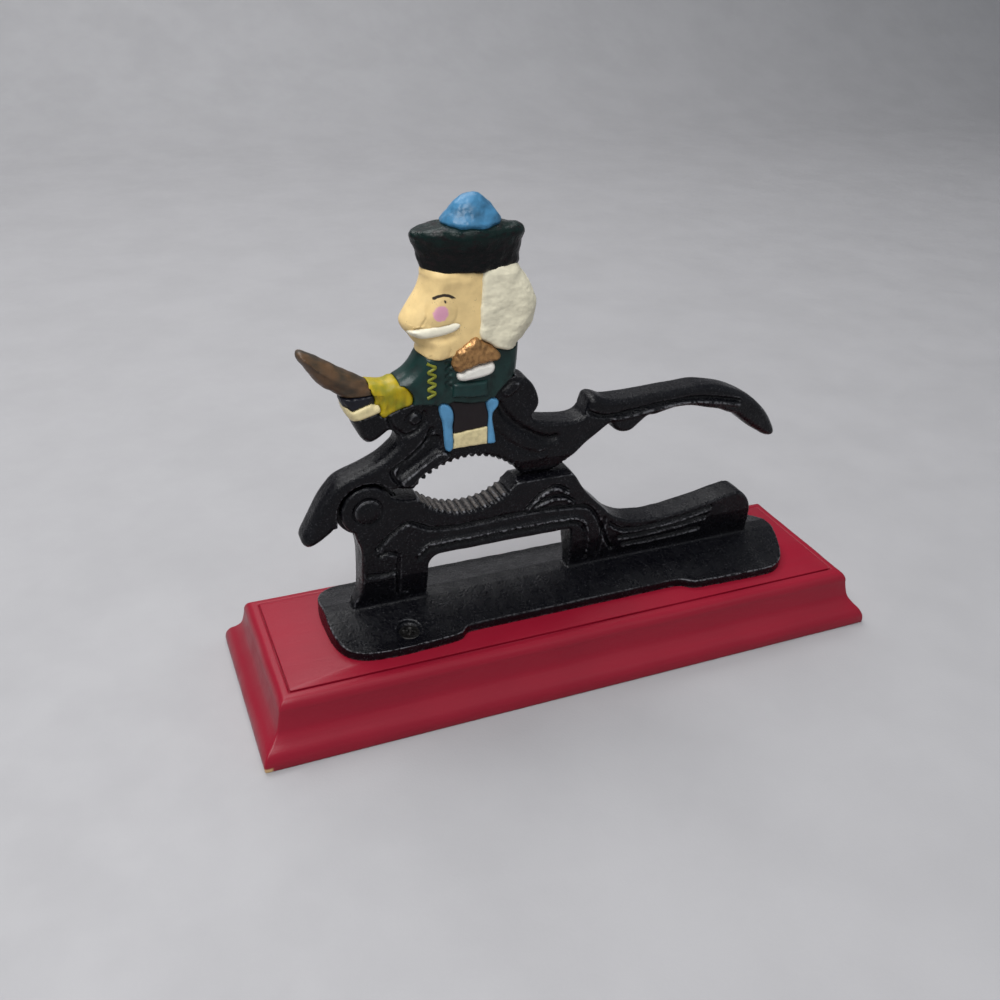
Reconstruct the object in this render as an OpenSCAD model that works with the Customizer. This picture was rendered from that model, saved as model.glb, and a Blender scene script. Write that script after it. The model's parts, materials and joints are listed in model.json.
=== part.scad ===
// Hinged table-top nutcracker: a cast lever in the shape of a toy soldier riding a leaping horse,
// pinned to a cast lower jaw that is screwed to a moulded wooden base.
// X runs along the base, with the handles at +X, Z is up, and the hinge pin lies along Y.

/* [Wooden base] */
// Length of the base
base_l = 254; // [240:1:270]
// Width of the base
base_w = 78.6; // [74:0.1:86]
// Height of the base at its flat top panel
base_h = 22.7; // [22:0.1:26]
// Distance from the edge of the base to the groove round its panel
groove_inset = 12.5; // [12:0.1:14]

/* [Castings] */
// Thickness of the lower jaw, the lever and both handles
web_t = 11; // [10:0.5:14]
// Distance of the castings' middle plane behind the middle of the base
casting_y = 2.5; // [0:0.5:4]
// Thickness of the lower casting's foot at its edges
foot_edge_t = 3.6; // [3:0.1:5]
// Height of the foot's ridge above the base
foot_ridge_h = 8.4; // [7:0.1:10]

/* [Hinge] */
// Radius of the rivet that is the hinge pin
pin_r = 2.5; // [2:0.1:3]
// Radius of the rivet's heads
pin_head_r = 5; // [4.5:0.1:6]
// Radial clearance between the rivet and the lever
pin_clearance = 0.06; // [0.02:0.01:0.1]
// Radius of the two ears that hold the rivet
ear_r = 9.6; // [9:0.1:10]
// Thickness of the lever's tongue between the ears
tongue_t = 4; // [3:0.1:5]

/* [Nut opening] */
// Radius of both toothed recesses
recess_r = 25.8; // [25:0.1:27]
// Distance between neighbouring teeth
tooth_pitch = 2.7; // [2.4:0.1:3.2]
// Radius of the scallop between two teeth
tooth_r = 0.9; // [0.7:0.05:1]

/* [Screws] */
// Radius of a screw's countersunk head
screw_head_r = 4; // [3.5:0.1:4.3]
// Radius of a screw's shank
screw_r = 1.8; // [1.5:0.1:2]
// Length of a screw below its head
screw_l = 15; // [12:0.5:17]

/* [Figure] */
// Thickness of the toy soldier's jacket
jacket_t = 14; // [12.5:0.5:15]
// Thickness of his head
head_t = 15; // [14:0.5:16]
// Thickness of his hair
hair_t = 17; // [16.5:0.5:18]
// Depth of his hat from front to back, at the rim
hat_t = 19; // [18:0.5:20]

/* [Hidden] */
$fn = 96;

pin = [-78.5, 73.5];                    // hinge axis, x and z
gap_r = 11;                             // the lever is cut back to this radius round the ears
slot_r = 11.5;                          // radius of the slot for the tongue
slot_side = 0.25;                       // side clearance of the tongue in its slot
pin_head_h = 1.5;
contact_z = 76;                         // flat where the jaws meet
contact_gap = 0.15;
land_half = 2.3;                        // half width of the flat where the jaws meet
lower_recess = [-41, contact_z + 16.8]; // centre of the lower recess, x and z
upper_recess = [-41, 62.6];             // centre of the upper recess, x and z
foot_back = 21.5;                       // half width of the foot behind the web
window = [-55.8, 2.2];                  // opening between the two legs, x from and to
window_top = 50.4;
screw_at = [[-67.3, -13.8], [78, 16.2]];
screw_seat = 4.1;                       // height of a screw's head above the base
head_deep = 2.4;
overlap = 1;                            // how far a cut runs past the face that it opens
raised = 1.2;                           // how far a painted form stands out of its neighbour
deep = 20;                              // depth of a cut that runs right out of the part
across_all = 220;                       // length of a cross-section bar that spans both castings
hat_low = [-41.3, 156.4];               // middle of the hat's lower edge, x and z
hat_high = [-42.3, 170.4];              // middle of its top, x and z
hat_low_half = 17.4;
hat_high_half = 19.4;
hat_bevel = 1.5;

// ---- Outlines ----------------------------------------------------------------------------
// An outline is a list of [x, z] points. smooth() draws one curve through all of them; a third
// value of 1 makes the point a corner.

function xy(p) = [p[0], p[1]];
function unit(v) = norm(v) < 1e-9 ? [0, 0] : v / norm(v);
function heading(p, i) = let (n = len(p))
    p[i][2] == 1 ? [0, 0] : unit(xy(p[(i + 1) % n]) - xy(p[(i + n - 1) % n]));
function hermite(a, b, da, db, t) =
    a * (2 * pow(t, 3) - 3 * pow(t, 2) + 1) + da * (pow(t, 3) - 2 * pow(t, 2) + t)
    + b * (3 * pow(t, 2) - 2 * pow(t, 3)) + db * (pow(t, 3) - pow(t, 2));
function smooth(p, steps = 3) = let (n = len(p)) [
    for (i = [0:n - 1])
        let (a = xy(p[i]), b = xy(p[(i + 1) % n]), span = norm(b - a))
        for (k = [0:steps - 1])
            hermite(a, b, heading(p, i) * span, heading(p, (i + 1) % n) * span, k / steps)
];
function arc(c, r, from, to, steps = 6) = [
    for (k = [0:steps]) let (a = from + (to - from) * k / steps) c + r * [cos(a), sin(a)]
];

// Edge of the base: toe, cove, upright, rounded shoulder, groove and panel, as [inset, z]
base_edge = concat(
    [[0.4, 0]],
    arc([4.2, 4.2], 4.2, 190, 108),
    arc([1.7, 14], 5, -66, 0),
    arc([9.8, base_h - 3], 2.6, 180, 90),
    [[groove_inset - 0.3, base_h - 0.5], [groove_inset, base_h - 1], [groove_inset + 0.4, base_h]]
);

// Plan of the lower casting's foot, seen from above: two ears in front, straight behind
foot_plan = [
    [-94.8, 0], [-94.6, -8], [-93, -15], [-89.8, -20], [-84, -23], [-73, -24], [-56, -23.4],
    [-48.5, -22.3], [-46, -19.8], [-43.5, -19.2], [-10, -19.2], [44, -19.2], [47, -20],
    [51, -22.6], [60, -23.4], [75, -24], [88, -23.8], [94, -20.5], [98.2, -14.5], [100.8, -7],
    [101.5, 0], [100.6, 9], [97.4, 16], [91, foot_back - 1], [80, foot_back], [0, foot_back],
    [-82, foot_back], [-90, foot_back - 1.5], [-93.6, 14], [-94.7, 7]
];

// Lower jaw, legs and handle
lower_outline = [
    [-84.5, 30, 1], [-83.5, 34.5], [-81.6, 39], [-81.2, 48], [-81.2, 57], [-83, 63],
    [-84, 68, 1], [-80, 78, 1], [-71, 78, 1], [-66, 75.9], [-61, 75.4], [-55, contact_z, 1],
    [-20.5, contact_z, 1], [0, contact_z, 1], [2.2, 73.8], [5.2, 69.2], [10, 63.2],
    [14.6, 58.6], [19.4, 53.8], [24, 50.8], [30, 49], [38, 48.2], [46, 48.5], [56, 49.7],
    [66, 51.4], [74, 53], [79, 53.2], [82.6, 51], [85.4, 47], [86.8, 41], [87.6, 33, 1], [88, 28, 1],
    [-84.8, 28, 1]
];

// Horse, legs and handle of the lever; the figure's forms are taken out of it
lever_outline = [
    [-100.2, 62.2], [-101.8, 64.8], [-100, 69], [-96.4, 76.2], [-92.4, 82.4], [-89.2, 86],
    [-84.4, 88.3], [-77.6, 90.6], [-72.6, 93.2], [-68, 97.2, 1], [-67.2, 100.1], [-69.6, 102.8],
    [-71.6, 101.9], [-73.8, 100.4], [-76.2, 99.3], [-78.2, 99.6], [-80.2, 102], [-82.8, 108, 1],
    [-83, 112, 1], [-70, 113, 1], [-60, 116, 1], [-30, 118, 1], [-24.2, 120, 1],
    [-23.6, 117], [-20.4, 116.2], [-17.4, 113.4], [-15.4, 109.4], [-14.9, 106],
    [-15.9, 103.4], [-17.2, 101.6], [-16, 99.5], [-11, 98.1], [-5.5, 97.4], [0, 97.2],
    [3.6, 98.4], [4.8, 101.6], [5.6, 104.2], [7.4, 105.2], [10, 104.6], [13, 103.3], [18, 102.9],
    [26, 103.1], [36, 103.5], [46, 103.9], [54, 103.8], [61, 102.6], [69, 100], [76.2, 96.4],
    [82, 92.2], [86.8, 87.3], [90.4, 82.2], [92, 78.6], [90.8, 76.6], [88, 76.8],
    [84, 79.2], [79.5, 82.1], [75, 85.5], [71, 88.6], [67, 90.2], [62.5, 92.2], [56, 93.9],
    [50, 95.2], [42.5, 95.8], [38, 94.8], [34, 93.9], [31, 94], [28.4, 92.2], [25, 89.4],
    [22.5, 88.6], [19.5, 89], [17, 90.6], [15.4, 93.4, 1], [11, 90.4], [3, 84.6],
    [-2, 80, 1], [-4.6, 77.4], [-7.6, contact_z + contact_gap, 1],
    [-16.5, contact_z + contact_gap, 1], [-19.5, 77], [-21.5, 80, 1], [-40, 84, 1],
    [-60.6, 78.6, 1], [-66, 79.4], [-72, 82, 1], [-84, 80, 1], [-89.4, 72.6, 1],
    [-89.4, 68.6], [-92.8, 65.2], [-97, 62.6]
];

jacket_outline = [
    [-58, 131, 1], [-59.8, 128.4], [-61.6, 125.4], [-64, 123], [-67.6, 121, 1], [-66, 116, 1],
    [-62.2, 112.3, 1], [-55, 111.4], [-49.5, 109.4], [-44, 109], [-35.4, 109], [-31.5, 113.5],
    [-28, 117, 1], [-23.9, 118.6, 1], [-23.5, 124], [-23.4, 131, 1]
];
head_outline = [
    [-58.5, 161, 1], [-58.3, 157], [-57.8, 154.4], [-58.6, 151.2], [-60, 148.5], [-62, 145.4],
    [-63.9, 142.6], [-64.9, 140], [-64.3, 137.8], [-62.6, 135.8], [-60.8, 133.2], [-59.2, 131.2],
    [-59.4, 129.2], [-56.5, 128.1], [-52.5, 127.7], [-48.5, 128.5], [-44, 130.6],
    [-39.8, 133.4, 1], [-34, 136, 1], [-34, 161, 1]
];
moustache_outline = [
    [-63.6, 137.2], [-62, 138.5], [-58.6, 139.4], [-53.6, 140], [-48.4, 140.5], [-46.2, 139.6],
    [-46.8, 137.9], [-50.1, 136.5], [-55.2, 135.7], [-60.3, 135.6]
];
hair_outline = [
    [-39.2, 161, 1], [-39.6, 150], [-39.8, 140], [-39.6, 134], [-37.5, 131.6], [-33.5, 129.8],
    [-29, 128.6], [-24.6, 129], [-20.6, 132.8], [-18.3, 136.8], [-17.3, 141], [-17.7, 145],
    [-19.6, 149.4], [-22.2, 153.6], [-24.4, 156], [-24.4, 161, 1]
];
epaulette_outline = [
    [-41.6, 134.6], [-38.6, 133], [-35.6, 131.2], [-33, 129], [-31.8, 126.4], [-33.4, 125.4],
    [-37, 125.3], [-42, 124.2], [-46.6, 122.8], [-48.8, 124.6], [-49, 127.6], [-47.8, 130.2],
    [-44.4, 132.6]
];
fringe_outline = [
    [-47.2, 122.4], [-46.4, 119.8], [-41.6, 119.7], [-36.6, 120.4], [-34.2, 121.8],
    [-33.8, 123.8], [-34.8, 125.2, 1], [-42, 124.5, 1]
];
sleeve_outline = [
    [-48.6, 118.6, 1], [-46.8, 118.9], [-36, 118.7, 1], [-35.4, 112.4, 1], [-42, 112.6],
    [-48.8, 113.6, 1]
];
mane_outline = [
    [-76.6, 121.2, 1], [-73.4, 120.5], [-70.4, 120.4], [-67.6, 121.1], [-65.4, 120],
    [-63.2, 117.4], [-61.9, 114.4], [-62.6, 112.2], [-66.5, 111.1], [-70, 109.9],
    [-72.3, 108.8], [-74, 111, 1], [-75.5, 117, 1]
];
horn_outline = [
    [-86, 116.6, 1], [-88.8, 118.8], [-91.4, 120.5], [-94.2, 123.6], [-97.1, 128.2],
    [-99.3, 131.6], [-98.8, 133.4], [-96.8, 133.3], [-91, 130], [-84.6, 126],
    [-79.8, 123.2], [-76.6, 121.2, 1], [-75.5, 117, 1]
];
brow_band_outline = [
    [-86, 116.6, 1], [-75.5, 117, 1], [-74.8, 114, 1], [-82.8, 112.2, 1], [-85.4, 113.8]
];
noseband_outline = [
    [-85.4, 113.8, 1], [-82.8, 112.2, 1], [-75.6, 114.4], [-73.6, 113], [-73.4, 111.2, 1],
    [-78, 109.6], [-83, 108.4, 1], [-84.8, 111]
];
front_strap_outline = [
    [-52.8, 111.4], [-50.3, 111.2], [-48.4, 109.2], [-47.5, 106], [-47.9, 102], [-47.6, 93.8],
    [-49.6, 92.6], [-50.8, 96], [-51.6, 104], [-52.9, 108]
];
rear_strap_outline = [
    [-35.8, 110.4], [-33.4, 111.2], [-31.2, 109.8], [-31.4, 107.6], [-33.2, 105],
    [-32.4, 99], [-31.4, 93.4, 1], [-34.6, 93.4, 1], [-34.8, 100], [-34.8, 105], [-35.6, 108]
];
panel_outline = [
    [-50, 110.9], [-42, 110.4], [-34.2, 110.2, 1], [-34.2, 99.4, 1], [-42, 98.8], [-50, 98.2, 1]
];
cloth_outline = [
    [-50, 99.2, 1], [-42, 99.9], [-34, 100.5, 1], [-33.6, 93.4, 1], [-41.9, 93.4], [-49, 93.2, 1]
];

module form(outline) polygon(smooth(outline));

// A zigzag of braid down the jacket's front
module braid_form() {
    teeth = 5;
    top = 126;
    step = 2.4;
    for (i = [0:teeth - 1])
        polygon([
            [-58, top - i * step], [-54, top + 1.1 - i * step], [-54, top - 0.1 - i * step],
            [-56.6, top - 0.9 - i * step], [-54, top - 1.3 - i * step],
            [-54, top - 2.5 - i * step], [-58, top - 1.2 - i * step]
        ]);
}

// ---- Solids ------------------------------------------------------------------------------

// Stands a flat outline up in the XZ plane, t thick about the castings' middle plane
module slab(t) {
    translate([0, casting_y, 0]) rotate([90, 0, 0])
        linear_extrude(t, center = true) children();
}

// A cylinder along Y on the castings' middle plane
module cross_bar(at, r, t) {
    translate([at[0], casting_y, at[1]]) rotate([90, 0, 0]) cylinder(r = r, h = t, center = true);
}

// Moulded bar whose edge on both long sides is the base's edge profile
module moulded_bar(length, width) {
    half = width / 2;
    left = [for (p = base_edge) [p[0] - half, p[1]]];
    right = [for (i = [len(base_edge) - 1:-1:0]) [half - base_edge[i][0], base_edge[i][1]]];
    rotate([90, 0, 90]) linear_extrude(length, center = true) polygon(concat(left, right));
}

module wooden_base() {
    color("firebrick") difference() {
        intersection() {
            moulded_bar(base_l, base_w);
            rotate([0, 0, 90]) moulded_bar(base_w, base_l);
        }
        for (at = screw_at)
            translate([at[0], at[1], base_h - screw_l]) cylinder(r = screw_r, h = screw_l + overlap);
    }
}

// Foot: the plan, with its top sloping up from the edges to a ridge under the web
module foot() {
    ridge = base_h + foot_ridge_h;
    edge = base_h + foot_edge_t;
    intersection() {
        translate([0, casting_y, base_h]) linear_extrude(foot_ridge_h) polygon(smooth(foot_plan));
        translate([0, casting_y, 0]) rotate([90, 0, 90])
            linear_extrude(across_all, center = true)
            polygon([
                [-26, base_h], [-26, edge - 0.2], [-19.2, edge], [-2.8, ridge], [2.8, ridge],
                [19.2, edge], [26, edge - 0.2], [26, base_h]
            ]);
    }
}

// Web: full thickness above, thinner towards the foot
module lower_web() {
    waist = 2.9;
    side = web_t / 2;
    intersection() {
        slab(web_t) difference() {
            form(lower_outline);
            polygon(concat(
                [[window[0], 0]],
                arc([window[0] + 5, window_top - 5], 5, 180, 90),
                arc([window[1] - 1.5, window_top - 1.5], 1.5, 90, 0),
                [[window[1] + 1.2, base_h + foot_ridge_h], [window[1] + 1.2, 0]]
            ));
        }
        translate([0, casting_y, 0]) rotate([90, 0, 90])
            linear_extrude(across_all, center = true)
            polygon([
                [-waist, 0], [-waist, 33], [-side, 44], [-side, 100],
                [side, 100], [side, 44], [waist, 33], [waist, 0]
            ]);
    }
}

// Slopes both side faces of a jaw in towards its land; rise is negative on the lower jaw
module land_taper(rise, across, length) {
    start = -23;
    back = -sign(rise) * overlap;
    for (side = [-1, 1])
        translate([start, casting_y, contact_z]) rotate([90, 0, 90]) linear_extrude(length)
            polygon([
                [side * land_half, back], [side * land_half, 0],
                [side * across, rise], [side * web_t, rise], [side * web_t, back]
            ]);
}

// Scallops between the teeth of a recess, from one angle to another round its centre
module scallops(centre, from, to) {
    step = tooth_pitch / recess_r * 180 / PI;
    for (a = [from:step:to])
        cross_bar(centre + recess_r * [cos(a), sin(a)], tooth_r, web_t + 2 * overlap);
}

module lower_casting() {
    color("#1a1b1e") difference() {
        union() {
            lower_web();
            foot();
            cross_bar(pin, ear_r, web_t);
        }
        cross_bar(lower_recess, recess_r, web_t + 2 * overlap);
        scallops(lower_recess, 228, 310);
        land_taper(-1.2, web_t / 2 + 0.5, 27);
        cross_bar(pin, slot_r, tongue_t + 2 * slot_side);
        cross_bar(pin, pin_r, web_t + 2 * overlap);
        for (at = screw_at) translate([at[0], at[1], base_h]) {
            translate([0, 0, -overlap]) cylinder(r = screw_r, h = deep);
            translate([0, 0, screw_seat - head_deep])
                cylinder(r1 = screw_r, r2 = screw_head_r, h = head_deep);
            translate([0, 0, screw_seat]) cylinder(r = screw_head_r + 0.8, h = deep);
        }
    }
}

module hinge_pin() {
    side = web_t / 2;
    color("#202125") translate([pin[0], casting_y, pin[1]]) rotate([90, 0, 0]) rotate_extrude()
        polygon(concat(
            [[0, -side - pin_head_h]],
            arc([pin_head_r - 0.7, -side - pin_head_h + 0.7], 0.7, 270, 360, 4),
            [[pin_head_r, -side], [pin_r, -side], [pin_r, side], [pin_head_r, side]],
            arc([pin_head_r - 0.7, side + pin_head_h - 0.7], 0.7, 0, 90, 4),
            [[0, side + pin_head_h]]
        ));
}

// Countersunk screws with a crossed drive, through the foot into the base
module base_screws() {
    slot = [3.8, 0.9, 1.3];
    color("silver") for (at = screw_at) translate([at[0], at[1], base_h]) difference() {
        union() {
            translate([0, 0, -screw_l]) cylinder(r = screw_r, h = screw_l + screw_seat - head_deep);
            translate([0, 0, screw_seat - head_deep])
                cylinder(r1 = screw_r, r2 = screw_head_r, h = head_deep);
        }
        for (turn = [25, 115])
            translate([0, 0, screw_seat - slot[2] / 2 + 0.1]) rotate([0, 0, turn])
                cube(slot, center = true);
    }
}

module lever_casting() {
    color("#1a1b1e") difference() {
        union() {
            difference() {
                slab(web_t) difference() {
                    form(lever_outline);
                    form(jacket_outline);
                    form(mane_outline);
                    form(noseband_outline);
                    form(front_strap_outline);
                    form(rear_strap_outline);
                    form(panel_outline);
                    form(cloth_outline);
                }
                cross_bar(pin, gap_r, web_t + 2 * overlap);
                cross_bar(upper_recess, recess_r, web_t + 2 * overlap);
                scallops(upper_recess, 48, 134);
                land_taper(8, web_t / 2 + 0.1, 26);
            }
            cross_bar(pin, gap_r, tongue_t);
        }
        cross_bar(pin, pin_r + pin_clearance, tongue_t + 2 * overlap);
    }
}

module jacket() {
    color("#16302e") slab(jacket_t) difference() {
        form(jacket_outline);
        form(head_outline);
        form(hair_outline);
        form(mane_outline);
        form(epaulette_outline);
        form(fringe_outline);
        form(sleeve_outline);
        braid_form();
        form(front_strap_outline);
        form(rear_strap_outline);
        form(panel_outline);
    }
}

module sleeve() {
    color("#1f4540") slab(jacket_t + 2 * raised) difference() {
        form(sleeve_outline);
        form(panel_outline);
    }
}

module epaulette() {
    color("#9a6a42") slab(jacket_t + 4 * raised) form(epaulette_outline);
}

module epaulette_fringe() {
    color("#ddd9d0") slab(jacket_t + 3 * raised) difference() {
        form(fringe_outline);
        form(epaulette_outline);
    }
}

module jacket_braid() {
    color("#8f8b2a") slab(jacket_t + raised / 2) braid_form();
}

module head() {
    color("#e3c68b") slab(head_t) difference() {
        form(head_outline);
        form(hair_outline);
        form(moustache_outline);
        form(epaulette_outline);
        hat_silhouette();
    }
}

module moustache() {
    color("#ddd5c0") slab(head_t + raised) form(moustache_outline);
}

module hair() {
    color("#d9d3be") slab(hair_t) difference() {
        form(hair_outline);
        form(epaulette_outline);
        hat_silhouette();
    }
}

module hat_silhouette() {
    polygon([
        hat_low + [-hat_low_half - 3, 0], hat_low + [hat_low_half + 3, 0],
        hat_high + [hat_high_half, 0], hat_high + [-hat_high_half, 0]
    ]);
}

// Oval hat that widens towards its flat top
module hat() {
    depth = hat_t / 2 / hat_high_half;
    layer = 0.5;
    color("#161d1c") translate([0, casting_y, 0]) hull() {
        translate([hat_low[0], 0, hat_low[1]]) scale([1, depth, 1])
            cylinder(r = hat_low_half, h = layer, $fn = 64);
        translate([hat_high[0], 0, hat_high[1] - hat_bevel - layer]) scale([1, depth, 1])
            cylinder(r = hat_high_half, h = layer, $fn = 64);
        translate([hat_high[0], 0, hat_high[1] - layer]) scale([1, depth, 1])
            cylinder(r = hat_high_half - hat_bevel, h = layer, $fn = 64);
    }
}

// Half an egg on top of the hat
module pompom() {
    half = 10.3;
    rise = 9.6;
    depth = 7.4;
    color("#4e93c8") translate([-41.2, casting_y, hat_high[1]]) intersection() {
        scale([half, depth, rise]) sphere(r = 1, $fn = 32);
        translate([-half, -depth, 0]) cube([2 * half, 2 * depth, rise]);
    }
}

module mane() {
    color("#b8a21e") slab(web_t + raised) difference() {
        form(mane_outline);
        form(horn_outline);
        form(brow_band_outline);
        form(noseband_outline);
    }
}

module horn() {
    color("#5f4535") slab(web_t - 1) form(horn_outline);
}

module brow_band() {
    color("#1c1e2a") slab(web_t) difference() {
        form(brow_band_outline);
        form(horn_outline);
        form(noseband_outline);
    }
}

module noseband() {
    color("#cfc299") slab(web_t + raised) form(noseband_outline);
}

module blue_straps() {
    color("#4e93c8") slab(web_t + 2 * raised) {
        form(front_strap_outline);
        form(rear_strap_outline);
    }
}

module saddle_panel() {
    color("#2a1d1f") slab(web_t + raised) difference() {
        form(panel_outline);
        form(front_strap_outline);
        form(rear_strap_outline);
        form(cloth_outline);
    }
}

module saddle_cloth() {
    color("#d8cb94") slab(web_t + raised) difference() {
        form(cloth_outline);
        form(front_strap_outline);
        form(rear_strap_outline);
    }
}

wooden_base();
lower_casting();
hinge_pin();
base_screws();
lever_casting();
jacket();
sleeve();
epaulette();
epaulette_fringe();
jacket_braid();
head();
moustache();
hair();
hat();
pompom();
mane();
horn();
brow_band();
noseband();
blue_straps();
saddle_panel();
saddle_cloth();
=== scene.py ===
"""Looks of a hinged table-top nutcracker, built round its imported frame.

The lever is one casting in the shape of a toy soldier on a leaping horse. It swings on a rivet in a
cast lower jaw, which stands on a moulded wooden base. Lengths in this file are in millimetres unless a
name says otherwise; MM turns them into metres.
"""

import json
import math

import bmesh
import bpy
import numpy as np
from bpy.props import FloatProperty, FloatVectorProperty, PointerProperty
from mathutils import Euler, Matrix, Vector, kdtree, noise
from mathutils.bvhtree import BVHTree

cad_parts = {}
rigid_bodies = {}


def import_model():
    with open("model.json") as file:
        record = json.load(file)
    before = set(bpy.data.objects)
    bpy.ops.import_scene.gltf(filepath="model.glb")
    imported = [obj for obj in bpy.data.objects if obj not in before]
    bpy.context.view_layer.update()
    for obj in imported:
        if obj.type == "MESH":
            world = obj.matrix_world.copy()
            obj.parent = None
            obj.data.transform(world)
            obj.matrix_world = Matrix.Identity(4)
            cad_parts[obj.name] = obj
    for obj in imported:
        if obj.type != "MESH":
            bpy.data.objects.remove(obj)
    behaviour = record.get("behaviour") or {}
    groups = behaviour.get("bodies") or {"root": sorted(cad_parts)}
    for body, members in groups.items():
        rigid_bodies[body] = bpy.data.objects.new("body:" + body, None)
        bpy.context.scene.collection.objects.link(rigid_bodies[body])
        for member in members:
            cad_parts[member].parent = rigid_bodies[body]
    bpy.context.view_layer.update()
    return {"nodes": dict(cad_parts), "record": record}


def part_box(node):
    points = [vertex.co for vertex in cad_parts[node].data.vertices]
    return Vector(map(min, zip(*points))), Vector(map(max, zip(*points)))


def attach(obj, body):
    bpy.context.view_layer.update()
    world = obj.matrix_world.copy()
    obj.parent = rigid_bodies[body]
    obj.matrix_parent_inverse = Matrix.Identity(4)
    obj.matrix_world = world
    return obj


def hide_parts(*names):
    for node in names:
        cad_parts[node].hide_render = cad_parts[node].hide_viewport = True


bl_info = {
    "name": "Hinged nutcracker",
    "version": (1, 0, 0),
    "blender": (4, 5, 0),
    "location": "3D View > Sidebar > Nutcracker",
    "description": "Cast, painted and lacquered pieces of a table-top nutcracker",
    "category": "Object",
}

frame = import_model()

MM = 0.001
STAND = "stand"
LEVER = "lever"
BODIES = frame["record"]["behaviour"]["bodies"]


def box_mm(node):
    """Lowest and highest corner of a CAD node, in millimetres."""
    return tuple(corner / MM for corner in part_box(node))


BASE_LOW, BASE_HIGH = box_mm("wooden_base")
PIN_LOW, PIN_HIGH = box_mm("hinge_pin")
HAT_LOW, HAT_HIGH = box_mm("hat")
POMPOM_LOW, POMPOM_HIGH = box_mm("pompom")
PIN = (PIN_LOW + PIN_HIGH) / 2
MID_Y = PIN.y  # middle plane of both castings
BASE_TOP = BASE_HIGH.z
CASTING_HALF = box_mm("lever_casting")[1].y - MID_Y  # half the thickness of both castings
MOST_TRIANGLES = 190_000  # for one piece


# ---- Sizes and colours a user would change -------------------------------------------------------


def length(name, description, default):
    """A length in millimetres."""
    return FloatProperty(
        name=name, description=description + ", in millimetres", default=default, min=0
    )


def colour(name, description, default):
    """A paint colour, in linear light."""
    return FloatVectorProperty(
        name=name,
        description=description,
        default=default,
        subtype="COLOR",
        size=3,
        min=0,
        max=1,
    )


class CastingSettings(bpy.types.PropertyGroup):
    """How the foundry left the two castings."""

    cell: length("Cell", "Cell of the castings' fine mesh", 0.42)
    trim_cell: length("Trim cell", "Cell of the painted forms' fine mesh", 0.36)
    edge_in: length("Edge inset", "How far an outer edge's rounding reaches in", 1.5)
    edge_up: length("Edge height", "How far an outer edge's rounding reaches round", 2.0)
    limb_edge: length("Limb edge", "Reach of the rounding on the horse's legs and handle", 3.6)
    groove: length("Groove", "Depth of the grooves in the castings' sides", 1.25)
    ripple: length("Ripple", "Height of the slow unevenness of the cast faces", 0.07)


class ToothSettings(bpy.types.PropertyGroup):
    """The two rows of teeth that grip the nut."""

    pitch: length("Pitch", "Distance between neighbouring teeth", 2.7)
    radius: length("Radius", "Radius of a tooth's rounded ridge", 0.85)
    row_radius: length("Row radius", "Radius of both toothed recesses", 25.8)


class BaseSettings(bpy.types.PropertyGroup):
    """The moulded wooden base."""

    groove_inset: length("Groove inset", "Distance of the panel's groove from the edge", 12.5)
    groove_depth: length("Groove depth", "Depth of the groove round the panel", 1.2)
    upright: length("Upright", "Distance of the upright from the edge of the toe", 7.2)
    toe: length("Toe", "Height of the rounded toe", 5.6)


class HardwareSettings(bpy.types.PropertyGroup):
    """Screws and rivet."""

    head_radius: length("Head radius", "Radius of a screw's countersunk head", 4.0)
    shank_radius: length("Shank radius", "Radius of a screw's shank", 1.8)
    thread_pitch: length("Thread pitch", "Rise of the screw thread in one turn", 1.6)
    thread_height: length("Thread height", "Height of the screw thread", 0.35)
    rivet_radius: length("Rivet radius", "Radius of the rivet's heads", 4.6)
    rivet_rim: length("Rivet rim", "Radius of the rivet head's rounded rim", 1.5)


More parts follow.
